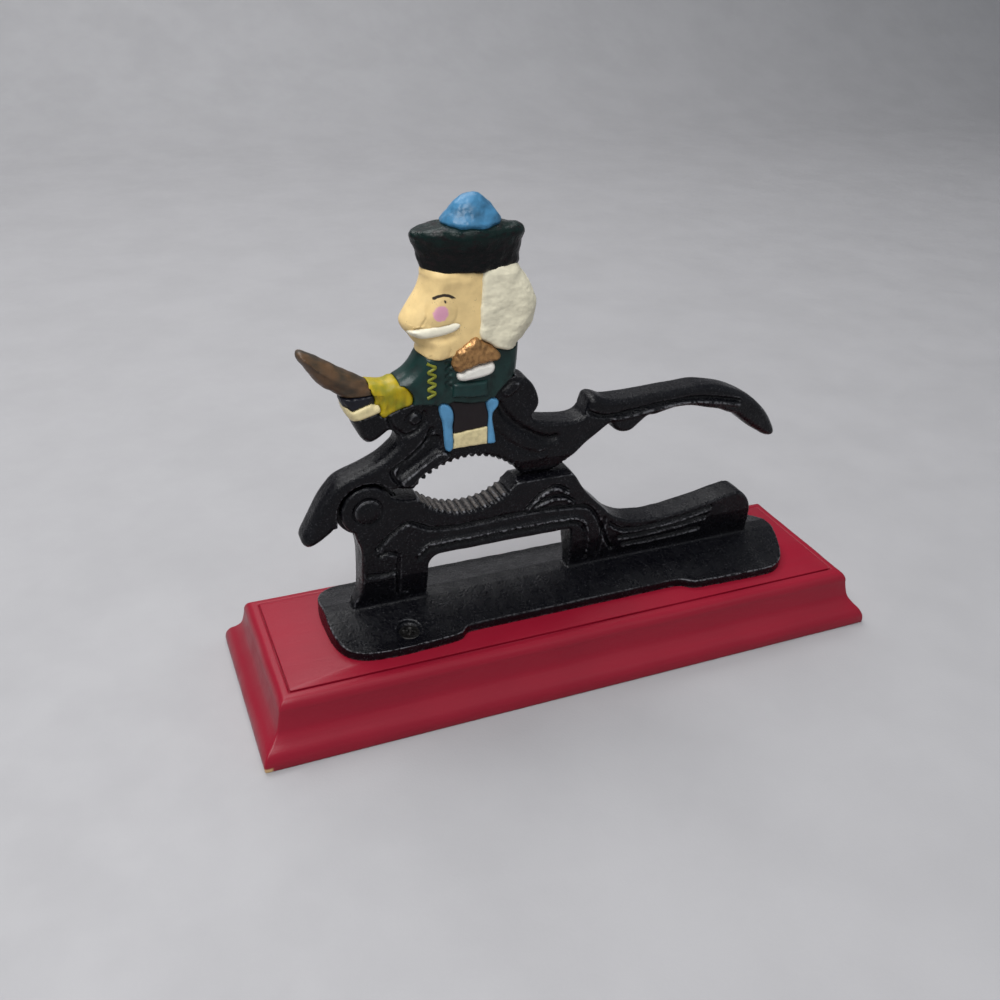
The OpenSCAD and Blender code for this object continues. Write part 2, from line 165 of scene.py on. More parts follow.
class PaintSettings(bpy.types.PropertyGroup):
    """Paints and lacquer."""

    iron: colour("Black iron", "Black enamel on the castings", (0.0013, 0.0013, 0.0024))
    # Pale iron on worn edges, also used as painted highlight lines and painted glints on the castings.
    iron_wear_and_highlight: colour("Iron edge", "Iron where the enamel is worn", (0.12, 0.12, 0.13))
    iron_bare: colour("Bare iron", "Iron of the lower teeth", (0.085, 0.075, 0.068))
    steel: colour("Steel", "Dark steel of the screws", (0.12, 0.115, 0.11))
    lacquer: colour("Lacquer", "Red lacquer on the wood", (0.212, 0.0052, 0.0175))
    lacquer_dark: colour("Dark lacquer", "Lacquer along the grain", (0.205, 0.006, 0.018))
    raw_wood: colour("Raw wood", "Wood where the lacquer is chipped", (0.55, 0.36, 0.17))
    coat: colour("Coat green", "Jacket", (0.0065, 0.026, 0.023))
    cuff: colour("Cuff green", "Sleeve", (0.0065, 0.028, 0.026))
    hat: colour("Hat", "Hat", (0.0020, 0.0028, 0.0030))
    skin: colour("Skin", "Face", (0.78, 0.57, 0.265))
    cheek: colour("Cheek", "Pink spot on the cheek", (0.68, 0.30, 0.48))
    brow: colour("Brow", "Painted brow", (0.035, 0.025, 0.018))
    hair: colour("Hair", "Hair", (0.70, 0.65, 0.49))
    whisker: colour("Moustache", "Moustache", (0.80, 0.75, 0.60))
    copper: colour("Copper", "Epaulette", (0.40, 0.215, 0.085))
    white: colour("White", "Epaulette's fringe", (0.75, 0.72, 0.66))
    blue: colour("Blue", "Straps", (0.085, 0.255, 0.44))
    tuft: colour("Pompom blue", "Darker blue of the pompom", (0.045, 0.17, 0.31))
    yellow: colour("Yellow", "Mane", (0.36, 0.26, 0.004))
    moss: colour("Moss", "Streaks in the mane", (0.19, 0.18, 0.008))
    braid: colour("Braid", "Zigzag on the jacket", (0.19, 0.20, 0.018))
    horn: colour("Horn", "Horn", (0.095, 0.052, 0.026))
    horn_dark: colour("Dark horn", "Shaded side of the horn", (0.030, 0.026, 0.019))
    navy: colour("Navy", "Brow band", (0.0045, 0.005, 0.010))
    cream: colour("Cream", "Noseband and saddle cloth", (0.66, 0.56, 0.31))
    umber: colour("Umber", "Saddle panel", (0.0085, 0.0045, 0.0055))
    floor: colour("Floor", "Plain pale floor", (0.33, 0.325, 0.335))


class StageSettings(bpy.types.PropertyGroup):
    """Where the camera stands and how it looks."""

    azimuth: FloatProperty(
        name="Azimuth",
        description="Direction the camera looks in, from +Y towards +X",
        default=math.radians(24.04),
        subtype="ANGLE",
    )
    elevation: FloatProperty(
        name="Elevation",
        description="Angle the camera looks down by",
        default=math.radians(30.16),
        subtype="ANGLE",
    )
    roll: FloatProperty(
        name="Roll",
        description="Turn of the camera about its line of sight",
        default=math.radians(2.75),
        subtype="ANGLE",
    )
    field: FloatProperty(
        name="Field of view",
        description="Width of the camera's view",
        default=math.radians(52.49),
        subtype="ANGLE",
    )
    place: FloatVectorProperty(
        name="Camera place",
        description="Where the camera stands, in metres",
        default=(-0.1596, -0.2965, 0.2560),
        subtype="TRANSLATION",
        unit="LENGTH",
    )


GROUPS = {
    "casting": CastingSettings,
    "teeth": ToothSettings,
    "base": BaseSettings,
    "hardware": HardwareSettings,
    "paint": PaintSettings,
    "stage": StageSettings,
}


def settings(context, group):
    """One group of the settings above."""
    return getattr(context.scene, "nutcracker_" + group)


# ---- Meshes --------------------------------------------------------------------------------------


def mesh_from(name, points, faces):
    """A mesh of points in millimetres, with its normals outwards."""
    mesh = bpy.data.meshes.new(name)
    mesh.from_pydata([tuple(c * MM for c in p) for p in points], [], faces)
    bm = bmesh.new()
    bm.from_mesh(mesh)
    bmesh.ops.recalc_face_normals(bm, faces=bm.faces)
    bm.to_mesh(mesh)
    bm.free()
    return mesh


def circle(segments):
    """Angles of points spaced evenly round a circle."""
    return [2 * math.pi * i / segments for i in range(segments)]


def tube_faces(rows, count):
    """Faces between rings of as many points each, and the two ends that close them."""
    faces = []
    for j in range(rows - 1):
        for i in range(count):
            k = (i + 1) % count
            faces.append((j * count + i, j * count + k, (j + 1) * count + k, (j + 1) * count + i))
    faces.append(tuple(reversed(range(count))))
    faces.append(tuple(range((rows - 1) * count, rows * count)))
    return faces


def object_of(name, mesh):
    """An object at the origin that shows this mesh."""
    obj = bpy.data.objects.new(name, mesh)
    bpy.context.scene.collection.objects.link(obj)
    return obj


def evaluated_mesh(obj, name):
    """The mesh that an object's modifiers make, as a plain mesh."""
    bpy.context.view_layer.update()
    graph = bpy.context.evaluated_depsgraph_get()
    mesh = bpy.data.meshes.new_from_object(obj.evaluated_get(graph))
    mesh.name = name
    return mesh


def apply_modifiers(obj):
    """Puts what an object's modifiers make in place of its mesh."""
    mesh = evaluated_mesh(obj, obj.data.name)
    obj.modifiers.clear()
    obj.data = mesh


def even_mesh(rough, cell):
    """A closed mesh with cells of one size in place of a rough one."""
    obj = object_of("being_remeshed", rough)
    remesh = obj.modifiers.new("fine", "REMESH")
    remesh.mode = "VOXEL"
    remesh.voxel_size = cell * MM
    mesh = evaluated_mesh(obj, rough.name)
    bpy.data.objects.remove(obj)
    return mesh


def smooth_shading(mesh, sharp_angle=math.pi):
    """Smooth shading, with edges sharper than an angle left crisp."""
    mesh.shade_smooth()
    if sharp_angle < math.pi:
        mesh.set_sharp_from_angle(angle=sharp_angle)


def settle(obj, body, material, replaced=()):
    """Gives a finished piece its material and its body, and hides the CAD nodes that it stands for."""
    obj.data.materials.clear()
    obj.data.materials.append(material)
    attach(obj, body)
    if replaced:
        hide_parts(*replaced)


def merged_node(node):
    """A CAD node as one connected mesh, in millimetres."""
    bm = bmesh.new()
    bm.from_mesh(frame["nodes"][node].data)
    bmesh.ops.remove_doubles(bm, verts=bm.verts, dist=1e-6)
    bmesh.ops.scale(bm, vec=(1 / MM,) * 3, verts=bm.verts)
    bm.normal_update()
    return bm


def node_tree_of(nodes):
    """A search tree over the faces of some CAD nodes, in millimetres."""
    points, faces = [], []
    for node in nodes:
        mesh = frame["nodes"][node].data
        first = len(points)
        points += [v.co / MM for v in mesh.vertices]
        faces += [[first + i for i in p.vertices] for p in mesh.polygons]
    return BVHTree.FromPolygons(points, faces)


def near_face(tree, x, z):
    """Y of the first face met when looking along +Y at a point, or None."""
    hit = tree.ray_cast(Vector((x, -500, z)), Vector((0, 1, 0)))[0]
    return None if hit is None else hit.y


def curve_through(points, steps=5):
    """Points on a smooth open curve through the points given."""
    p = [np.array(q, float) for q in points]
    p = [2 * p[0] - p[1]] + p + [2 * p[-1] - p[-2]]
    line = []
    for i in range(1, len(p) - 2):
        for k in range(steps):
            t = k / steps
            line.append(
                0.5
                * (
                    2 * p[i]
                    + (p[i + 1] - p[i - 1]) * t
                    + (2 * p[i - 1] - 5 * p[i] + 4 * p[i + 1] - p[i + 2]) * t * t
                    + (3 * p[i] - p[i - 1] - 3 * p[i + 1] + p[i + 2]) * t**3
                )
            )
    line.append(p[-2])
    return np.array(line)


def line_distance(xz, line):
    """Distance of each point to an open line, where both are seen along Y."""
    best = np.full(len(xz), np.inf)
    for a, b in zip(line[:-1], line[1:]):
        along = b - a
        share = np.clip(((xz - a) @ along) / max(along @ along, 1e-9), 0, 1)
        best = np.minimum(best, np.linalg.norm(xz - (a + share[:, None] * along), axis=1))
    return best


def inside_outline(xz, outline):
    """Which points lie inside a closed outline."""
    inside = np.zeros(len(xz), bool)
    x, z = xz[:, 0], xz[:, 1]
    for a, b in zip(outline, np.roll(outline, -1, axis=0)):
        if a[1] == b[1]:
            continue
        crosses = (a[1] > z) != (b[1] > z)
        inside ^= crosses & (x < (b[0] - a[0]) * (z - a[1]) / (b[1] - a[1]) + a[0])
    return inside


def from_pin(xz):
    """Distance of each point from the hinge axis."""
    return np.linalg.norm(xz - np.array((PIN.x, PIN.z)), axis=1)


def ease(value, low, high):
    """0 below low, 1 above high, and smooth between."""
    t = np.clip((value - low) / (high - low), 0, 1)
    return t * t * (3 - 2 * t)


def bead(xz, points, width, height):
    """Height of a rounded bead along a curve; a negative height is a groove."""
    line = curve_through(points)
    low, high = line.min(0) - 3 * width, line.max(0) + 3 * width
    near = np.all((xz > low) & (xz < high), axis=1)
    out = np.zeros(len(xz))
    if near.any():
        out[near] = height * np.exp(-((line_distance(xz[near], line) / width) ** 2))
    return out


def pad(xz, points, shoulder, height):
    """Height of a flat form inside an outline, with soft shoulders."""
    outline = curve_through(list(points) + [points[0]], 3)[:-1]
    away = line_distance(xz, np.vstack([outline, outline[:1]]))
    signed = np.where(inside_outline(xz, outline), away, -away)
    return height * ease(signed, -shoulder / 2, shoulder / 2)


def dome(xz, centre, radius, height):
    """Height of a round boss."""
    share = np.linalg.norm(xz - np.array(centre), axis=1) / radius
    return height * np.sqrt(np.clip(1 - share**2, 0, 1))


def ripple(co, wavelength, height, seed):
    """Slow unevenness of a surface."""
    draw = np.random.default_rng(seed)
    total = np.zeros(len(co))
    waves = 7
    for _ in range(waves):
        direction = draw.normal(size=3)
        direction /= np.linalg.norm(direction)
        turn = 2 * math.pi / (wavelength * draw.uniform(0.7, 1.5))
        total += np.sin(co @ direction * turn + draw.uniform(0, 2 * math.pi))
    return total * height / math.sqrt(waves / 2)


def lumps(co, size, height, seed, flat=1.0):
    """Irregular lumps of about one size, or strokes along X where flat is above 1."""
    shift = Vector((17.3 * seed, -9.1 * seed, 4.7 * seed))
    scaled = co * (1 / size, 1 / size, flat / size)
    return height * np.array([noise.noise(Vector(p) + shift) for p in scaled])


class Shape:
    """The points and edges of a fine mesh, in millimetres, while a piece is being worked."""

    def __init__(self, mesh):
        count = len(mesh.vertices)
        co = np.empty(count * 3, np.float32)
        mesh.vertices.foreach_get("co", co)
        self.mesh = mesh
        self.co = co.reshape(-1, 3).astype(float) / MM
        edges = np.empty(len(mesh.edges) * 2, np.int32)
        mesh.edges.foreach_get("vertices", edges)
        self.edges = edges.reshape(-1, 2)
        self.degree = np.bincount(self.edges.ravel(), minlength=count).astype(float)

    @property
    def xz(self):
        """Where each point lies when seen along Y."""
        return self.co[:, [0, 2]]

    def neighbours(self):
        """Mean of each point's neighbours."""
        a, b = self.edges.T
        total = np.empty_like(self.co)
        for axis in range(3):
            column = self.co[:, axis]
            total[:, axis] = np.bincount(a, column[b], len(column)) + np.bincount(
                b, column[a], len(column)
            )
        return total / self.degree[:, None]

    def relax(self, rounds, keep_size=True, weight=1.0):
        """Smooths the surface; keep_size undoes the shrinking."""
        for _ in range(rounds):
            self.co += 0.5 * np.reshape(weight, (-1, 1)) * (self.neighbours() - self.co)
            if keep_size:
                self.co -= 0.52 * np.reshape(weight, (-1, 1)) * (self.neighbours() - self.co)

    def normals(self):
        """Outward normal at each point."""
        self.store()
        out = np.empty(len(self.co) * 3, np.float32)
        self.mesh.vertex_normals.foreach_get("vector", out)
        return out.reshape(-1, 3).astype(float)

    def store(self):
        """Writes the points back to the mesh."""
        self.mesh.vertices.foreach_set("co", (self.co * MM).astype(np.float32).ravel())
        self.mesh.update()


def fine_mesh(name, nodes, cell):
    """One closed, evenly fine mesh of some CAD nodes."""
    joined = bmesh.new()
    for node in nodes:
        part = merged_node(node)
        mesh = bpy.data.meshes.new(node)
        part.to_mesh(mesh)
        part.free()
        joined.from_mesh(mesh)
        bpy.data.meshes.remove(mesh)
    bmesh.ops.scale(joined, vec=(MM,) * 3, verts=joined.verts)
    rough = bpy.data.meshes.new(name)
    joined.to_mesh(rough)
    joined.free()
    return even_mesh(rough, cell)


def thin_out(obj, most):
    """Brings a mesh under a number of triangles, where its surface is flattest first."""
    triangles = sum(len(p.vertices) - 2 for p in obj.data.polygons)
    if triangles > most:
        modifier = obj.modifiers.new("thin", "DECIMATE")
        modifier.ratio = most / triangles
        apply_modifiers(obj)


# ---- Plates: castings seen along Y, with rounded edges -------------------------------------------

RIM_STEP = 0.4


class Rim:
    """Samples along the outline of plates seen along Y, with the way in at each of them."""

    def __init__(self, points, inward):
        self.points = np.array(points, float).reshape(-1, 2)
        self.tree = kdtree.KDTree(len(self.points))
        for i, (x, z) in enumerate(self.points):
            self.tree.insert((x, z, 0), i)
        self.tree.balance()
        inward = np.array(inward, float).reshape(-1, 2)
        self.inward = np.zeros_like(inward)
        for i, (x, z) in enumerate(self.points):
            close = [j for _, j, _ in self.tree.find_range((x, z, 0), 3 * RIM_STEP)]
            mean = inward[close].mean(0)
            self.inward[i] = mean / max(np.linalg.norm(mean), 1e-6)

    def nearest(self, xz):
        """Distance in from the outline, and the way in, at each point."""
        if not len(self.points):
            return np.full(len(xz), 1e3), np.zeros_like(xz)
        found = [self.tree.find((x, z, 0))[1:] for x, z in xz]
        index = np.array([f[0] for f in found])
        away = np.array([f[1] for f in found])
        offset = xz - self.points[index]
        close = away < 0.6
        depth = np.where(close, np.maximum((offset * self.inward[index]).sum(1), 0), away)
        way = np.where(close[:, None], self.inward[index], offset / np.maximum(away, 1e-6)[:, None])
        return depth, way


def outline_samples(node):
    """(point, way in) along the outline of a plate's near face."""
    bm = merged_node(node)
    samples = []
    for edge in bm.edges:
        if len(edge.link_faces) != 2:
            continue
        flat, wall = sorted(edge.link_faces, key=lambda f: -abs(f.normal.y))
        if flat.normal.y > -0.9 or abs(wall.normal.y) > 0.1:
            continue
        a, b = (v.co for v in edge.verts)
        steps = max(1, round((b - a).length / RIM_STEP))
        for k in range(steps):
            p = a.lerp(b, (k + 0.5) / steps)
            samples.append(((p.x, p.z), (-wall.normal.x, -wall.normal.z)))
    bm.free()
    return samples


def covered(tree, sample):
    """Whether a plate goes on just outside its own outline, into whatever the tree holds."""
    (x, z), (in_x, in_z) = sample
    step = 0.35
    return near_face(tree, x - step * in_x, z - step * in_z) is not None


def rim_of(samples):
    """The rim that some outline samples make."""
    return Rim([p for p, _ in samples], [way for _, way in samples])


class Plates:
    """All plates of one body, and the silhouette that they share."""

    def __init__(self, nodes, body):
        self.samples = {node: outline_samples(node) for node in nodes}
        self.tree = node_tree_of(BODIES[body])
        outer = [s for node in nodes for s in self.samples[node] if not covered(self.tree, s)]
        self.silhouette = rim_of(outer)

    def seams(self, node, backing):
        """Where a plate meets others, apart from those that lie on its own backing."""
        samples = [s for s in self.samples[node] if covered(self.tree, s)]
        samples = [s for s in samples if s[0][1] < HAT_LOW.z - 0.6]
        if backing:
            tree = node_tree_of(backing)
            samples = [s for s in samples if not covered(tree, s)]
        return rim_of(samples)


def half_thickness(node, xz, fallback):
    """Half the thickness of a plate at each point."""
    tree = node_tree_of([node])
    faces = [near_face(tree, x, z) for x, z in xz]
    return np.array([fallback if y is None else MID_Y - y for y in faces])


def round_edges(shape, plates, half, edge_in, edge_up, weight=1.0):
    """Rounds a plate off where it meets the silhouette of its body.

    A length runs up the wall from the middle plane and then in along the face. A stretch of it is bent
    onto a quarter of an ellipse, edge_in wide and edge_up high; what lies inside follows in proportion.
    """
    depth, way = plates.silhouette.nearest(shape.xz)
    side = np.sign(shape.co[:, 1] - MID_Y)
    up = np.abs(shape.co[:, 1] - MID_Y)
    edge_up = np.minimum(edge_up, half)
    wall = half - edge_up

    def bent(length):
        turn = np.clip((length - wall) / (edge_in + edge_up), 0, 1) * math.pi / 2
        inset = edge_in * (1 - np.cos(turn)) + np.maximum(length - half - edge_in, 0)
        return inset, np.minimum(length, wall) + edge_up * np.sin(turn)

    corner_inset, corner_height = bent(half)
    wall_inset, wall_height = bent(np.minimum(up, half))
    face_inset, face_height = bent(half + depth)
    share = 1 - np.clip(depth / edge_in, 0, 1)
    rise = (1 - share) * up / half + share * wall_height / corner_height
    draft = 0.03 * up * (1 - ease(depth, 2, 6))
    shift = (wall_inset * (face_inset - depth) / corner_inset + draft) * weight
    shape.co[:, 0] += way[:, 0] * shift
    shape.co[:, 2] += way[:, 1] * shift
    shape.co[:, 1] = MID_Y + side * (up + (face_height * rise - up) * weight)


def soften_seams(shape, seams, half, lip):
    """Lowers a plate's face towards the seams where it meets its neighbours."""
    depth, _ = seams.nearest(shape.xz)
    share = 1 - np.clip(depth / lip, 0, 1)
    drop = lip * (1 - np.sqrt(np.clip(1 - share**2, 0, 1)))
    out = shape.co[:, 1] - MID_Y
    shape.co[:, 1] -= drop * np.clip(out / half, -1, 1)


def emboss(shape, height, half):
    """Moves both faces of a plate out by a height at each point."""
    out = (shape.co[:, 1] - MID_Y) / half
    shape.co[:, 1] += height * np.sign(out) * ease(np.abs(out), 0.55, 0.9)


# ---- Relief of the two castings, as points [x, z] ------------------------------------------------

LOWER_GROOVE = [
    [-75.5, 57.2], [-72, 61], [-66.4, 65.2], [-63.4, 66.2], [-59, 64], [-54.5, 62], [-44, 61],
    [-28, 61.5], [-12, 61.7], [3, 60.5], [9, 59], [12.5, 55], [15, 49.8], [18.6, 42], [22, 36.5],
]
LOWER_RIB = [
    [-59.5, 52.6], [-57, 55.2], [-52, 56], [-36, 56], [-20, 56.2], [-3, 56], [4.5, 55],
    [8.5, 51], [9.8, 44], [10.4, 37],
]
HANDLE_GROOVES = [
    [[19.5, 49.5], [24.4, 46.2], [32, 45], [44, 45.4], [56, 46.8], [66, 48.6]],
    [[24.4, 42.2], [34, 41.6], [50, 42.6], [64, 44.3]],
    [[27.2, 37.9], [40, 37.6], [52, 38], [62.4, 38.8]],
]
LEG_GROOVES = [
    [[-67.5, 52], [-67.8, 44], [-67.5, 33.5]],
    [[-79, 46.5], [-74, 46], [-69, 46.4]],
    [[-74.5, 54.3], [-71, 55], [-67.8, 53.4]],
    [[16.5, 52.5], [15.8, 44], [15.5, 34]],
]
LEAVES = [
    [[-17.5, 63.4], [-12.5, 68.6], [-6.4, 71.1], [-0.8, 68.4]],
    [[-14.2, 64.3], [-8.2, 66.4], [-2, 66], [1.7, 63.5]],
]
FOLDED_LEG = [[-66.5, 84], [-53.5, 92.6], [-49.6, 92.2], [-49.4, 90.2], [-64, 80.6], [-66.6, 81.2]]
NECK_GROOVE = [
    [-55.3, 102], [-58, 97.5], [-63, 92.6], [-68.2, 89.2], [-69.6, 87.4], [-68.4, 84.2], [-67, 81.6],
]
LEG_HOLLOW = [
    [-57, 99.5], [-60, 95.2], [-65, 91.4], [-67.6, 88], [-66.4, 85.4], [-53, 94], [-52.4, 99],
]
SHOULDER_ARC = [
    [-70.4, 108], [-69.4, 104.6], [-67.2, 102], [-64.2, 100.9], [-60.4, 102.4], [-57.6, 105.8],
    [-58, 108.6],
]
HAUNCH_GROOVE = [
    [-30.3, 107.5], [-27.8, 103], [-22.6, 97.8], [-16.3, 93.6], [-11, 91.3], [-7.6, 91.6],
]
RUMP_PAD = [[-30.4, 112.8], [-26.6, 115.6], [-23.4, 115.8], [-24.4, 112.8], [-28, 110.8]]
UPPER_HANDLE_GROOVE = [
    [1.2, 103.4], [4.2, 100.4], [9.4, 97.8], [15, 97], [24, 97.7], [36, 99], [52, 99.1], [71, 95.6],
]


def lower_relief(xz, groove):
    """Relief of the lower casting's sides."""
    height = bead(xz, LOWER_GROOVE, 0.7, -1.2 * groove)
    height += bead(xz, LOWER_RIB, 0.7, groove)
    height += bead(xz, [[x, z - 2.0] for x, z in LOWER_RIB], 1.0, -0.9 * groove)
    below_rib = ease(line_distance(xz, np.array(LOWER_RIB, float) - (0, 0.9)), 1.5, 0.6)
    height += 0.35 * below_rib * np.sin(3.1 * xz[:, 0] + 2 * np.sin(1.3 * xz[:, 0]) + 2.3 * xz[:, 1])
    for line in HANDLE_GROOVES:
        height += bead(xz, line, 0.7, -groove)
        height += bead(xz, [[x, z - 1.5] for x, z in line], 0.7, 0.25 * groove)
    height -= 0.5 * groove * np.exp(-(((from_pin(xz) - 5) / 0.55) ** 2))
    for line in LEG_GROOVES:
        height += bead(xz, line, 0.65, -groove)
    for line in LEAVES:
        height += bead(xz, line, 0.6, -groove)
        height += bead(xz, [[x, z - 1.3] for x, z in line], 0.6, 0.6 * groove)
    return height


def lever_relief(xz, groove):
    """Relief of the black part of the lever's sides."""
    height = pad(xz, FOLDED_LEG, 0.8, 1.3 * groove)
    height += pad(xz, LEG_HOLLOW, 1.6, -0.9 * groove)
    height += bead(xz, NECK_GROOVE, 0.7, -1.1 * groove)
    height += bead(xz, SHOULDER_ARC, 0.8, -0.9 * groove)
    height += bead(xz, [[-64.6, 107], [-61.5, 103.9], [-58.6, 106.6], [-61.4, 109.6], [-64.6, 107]],
                   0.6, -0.5 * groove)
    height += dome(xz, (-61.4, 106.8), 2.4, 0.5 * groove)
    height += bead(xz, HAUNCH_GROOVE, 1.5, -1.3 * groove)
    height += bead(xz, [[x - 4.2, z - 5] for x, z in HAUNCH_GROOVE[1:]], 1.0, -0.6 * groove)
    height += pad(xz, RUMP_PAD, 1.2, 0.7 * groove)
    height += bead(xz, UPPER_HANDLE_GROOVE, 0.8, -1.1 * groove)
    height += bead(xz, [[x, z - 1.9] for x, z in UPPER_HANDLE_GROOVE[3:]], 0.8, 0.5 * groove)
    height += dome(xz, (-12.6, 86), 2.6, 0.5 * groove)
    return height


# ---- Painted forms -------------------------------------------------------------------------------


class Form:
    """How one painted form of the lever is worked from its CAD plate."""

    def __init__(self, slot, paint, backing=(), edge=(2.5, 3), lip=0.6, lump=(), extra=None):
        self.slot = slot
        self.paint = paint
        self.backing = list(backing)
        self.edge = edge
        self.lip = lip
        self.lump = lump
        self.extra = extra


def jacket_relief(xz):
    """Lapel, side seam and unpainted braid of the jacket."""
    height = bead(xz, [[-64.4, 121.6], [-61.5, 124.8], [-58.4, 127.4]], 1.3, 0.7)
    zigzag = [[-50.9 + 1.9 * (i % 2), 126.6 - 1.3 * i] for i in range(8)]
    height += bead(xz, zigzag, 0.45, -0.9)
    height += bead(xz, [[-34.2, 119.4], [-34.4, 115], [-34, 110.6]], 0.5, -0.5)
    height += bead(xz, [[-56, 112.6], [-52.6, 115], [-51.4, 118]], 0.9, 0.35)
    return height


def head_relief(xz):
    """Brow, nose, cheek and chin."""
    height = bead(xz, [[-59.4, 141.6], [-61.6, 139.6], [-63, 138.2]], 1.5, -0.35)
    height += dome(xz, (-65, 140.6), 3.4, 0.45)
    height += dome(xz, (-61.2, 142), 3.6, 0.7)
    height += dome(xz, (-53, 144), 5.2, 0.75)
    height += bead(xz, [[-59.4, 152], [-58.4, 147.6], [-58.2, 144], [-59.4, 141]], 1.7, -0.75)
    height += bead(xz, [[-60, 134.4], [-54, 134.6], [-49, 135.4]], 1.0, -0.55)
    height += bead(xz, [[-58.8, 154.4], [-52, 153.6], [-44, 154]], 1.6, 0.3)
    height += dome(xz, (-54, 131.2), 4.2, 0.7)
    return height


def mane_relief(xz):
    """Locks of the mane."""
    height = np.zeros(len(xz))
    for i in range(4):
        x = -74.5 + 3 * i
        height += bead(xz, [[x, 120.5], [x + 1.2, 116], [x + 0.6, 111.5]], 0.8, -0.3)
    return height


def horn_relief(xz):
    """Edge along the horn between its upper and lower slope."""
    height = bead(xz, [[-97.4, 131.6], [-90, 126.6], [-81.6, 121.6], [-77, 119.6]], 1.1, 0.5)
    return height + bead(xz, [[-95.4, 126.6], [-89, 121], [-82, 117.6]], 1.6, -0.35)


FORMS = {
    "jacket": Form("green_paint", "coat", ("jacket_braid", "sleeve", "epaulette", "epaulette_fringe"),
                   (5, 6), 0.5, extra=jacket_relief),
    "sleeve": Form("dark_teal_paint", "cuff", edge=(3, 4), lip=1.6, lump=((2.5, 0.15),)),
    "epaulette": Form("copper_paint", "copper", edge=(4, 5), lip=2.2, lump=((1.6, 0.4), (0.8, 0.14))),
    "epaulette_fringe": Form("white_paint", "white", edge=(2, 3), lip=1.5, lump=((2.4, 0.1),)),
    "head": Form("skin_paint", "skin", ("moustache", "hair", "epaulette"), (6, 7.4), 0.5,
                 ((3.5, 0.12),), head_relief),
    "moustache": Form("ivory_paint", "whisker", edge=(3, 4), lip=1.6, lump=((2.2, 0.1),)),
    "hair": Form("ivory_paint", "hair", edge=(7.5, 8.3), lip=1.6,
                 lump=((6, 0.42, 1.3), (2.6, 0.13, 1.5), (1.0, 0.09))),
    "mane": Form("yellow_paint", "yellow", edge=(4, 5), lip=1.1, lump=((2.4, 0.2),),
                 extra=mane_relief),
    "horn": Form("brown_paint", "horn", edge=(4.4, 4.8), lip=0.5, lump=((2.6, 0.14),),
                 extra=horn_relief),
    "brow_band": Form("navy_paint", "navy", edge=(2.5, 3.5), lip=0.6, lump=((1.2, 0.25),)),
    "noseband": Form("cream_paint", "cream", edge=(2.5, 3.5), lip=0.9, lump=((2.2, 0.08),)),
    "blue_straps": Form("blue_paint", "blue", edge=(2, 2), lip=1.1, lump=((2.4, 0.1),)),
    "saddle_panel": Form("dark_brown_paint", "umber", edge=(2, 2), lip=0.6, lump=((3, 0.12),)),
    "saddle_cloth": Form("cream_paint", "cream", edge=(2, 2), lip=0.7, lump=((2.6, 0.14),)),
}
PLATE_NODES = ["lever_casting", "jacket_braid", *FORMS]


def sink_backing(shape, node, plates, half):
    """Lowers what lies behind the neighbouring forms, so that they cover it."""
    depth, _ = rim_of(outline_samples(node)).nearest(shape.xz)
    tree = node_tree_of([node])
    hidden = np.array([near_face(tree, x, z) is None for x, z in shape.xz])
    drop = ease(depth, 0.2, 1.4) * hidden
    shape.co[:, 1] -= 1.1 * drop * np.clip((shape.co[:, 1] - MID_Y) / half, -1, 1)
    edge, way = plates.silhouette.nearest(shape.xz)
    shift = 2.2 * drop * (1 - ease(edge, 1, 5))
    shape.co[:, 0] += way[:, 0] * shift
    shape.co[:, 2] += way[:, 1] * shift


def reach_into_hat(shape):
    """Carries the top of a form up into the oval hat, so that no gap shows under its brim."""
    oval_x, oval_y = 16.0, 7.4  # half sizes of the oval that stays hidden inside the hat
    x, y, z = shape.co.T
    top = ease(z, HAT_LOW.z - 1.0, HAT_LOW.z)
    centre = (HAT_LOW.x + HAT_HIGH.x) / 2 + 0.9
    across = np.clip((x - centre) / oval_x, -0.98, 0.98)
    limit = oval_y * np.sqrt(1 - across**2)
    shape.co[:, 0] += top * (centre + oval_x * across - x)
    shape.co[:, 1] += top * (MID_Y + np.clip(y - MID_Y, -limit, limit) - y)
    shape.co[:, 2] += 2.0 * top


def work_form(node, form, plates, cell):
    """Mesh of one painted form."""
    high = box_mm(node)[1]
    half = high.y - MID_Y
    shape = Shape(fine_mesh(node + "_form", [node, *form.backing], cell))
    out = shape.co[:, 1] - MID_Y
    shape.co[:, 1] = MID_Y + np.clip(out, -half, half)
    soften_seams(shape, plates.seams(node, form.backing), half, form.lip)
    if form.extra:
        emboss(shape, form.extra(shape.xz), half)
    if form.backing:
        sink_backing(shape, node, plates, half)
    round_edges(shape, plates, half, *form.edge)
    shape.relax(2)
    shape.relax(1, keep_size=False)
    if high.z > HAT_LOW.z - 1:
        reach_into_hat(shape)
    for i, lump in enumerate(form.lump):
        size, height, *flat = lump
        shape.co += shape.normals() * lumps(shape.co, size, height, i + 1, *flat)[:, None]
    shape.relax(1)
    shape.store()
    smooth_shading(shape.mesh)
    return shape.mesh


# ---- Materials -----------------------------------------------------------------------------------


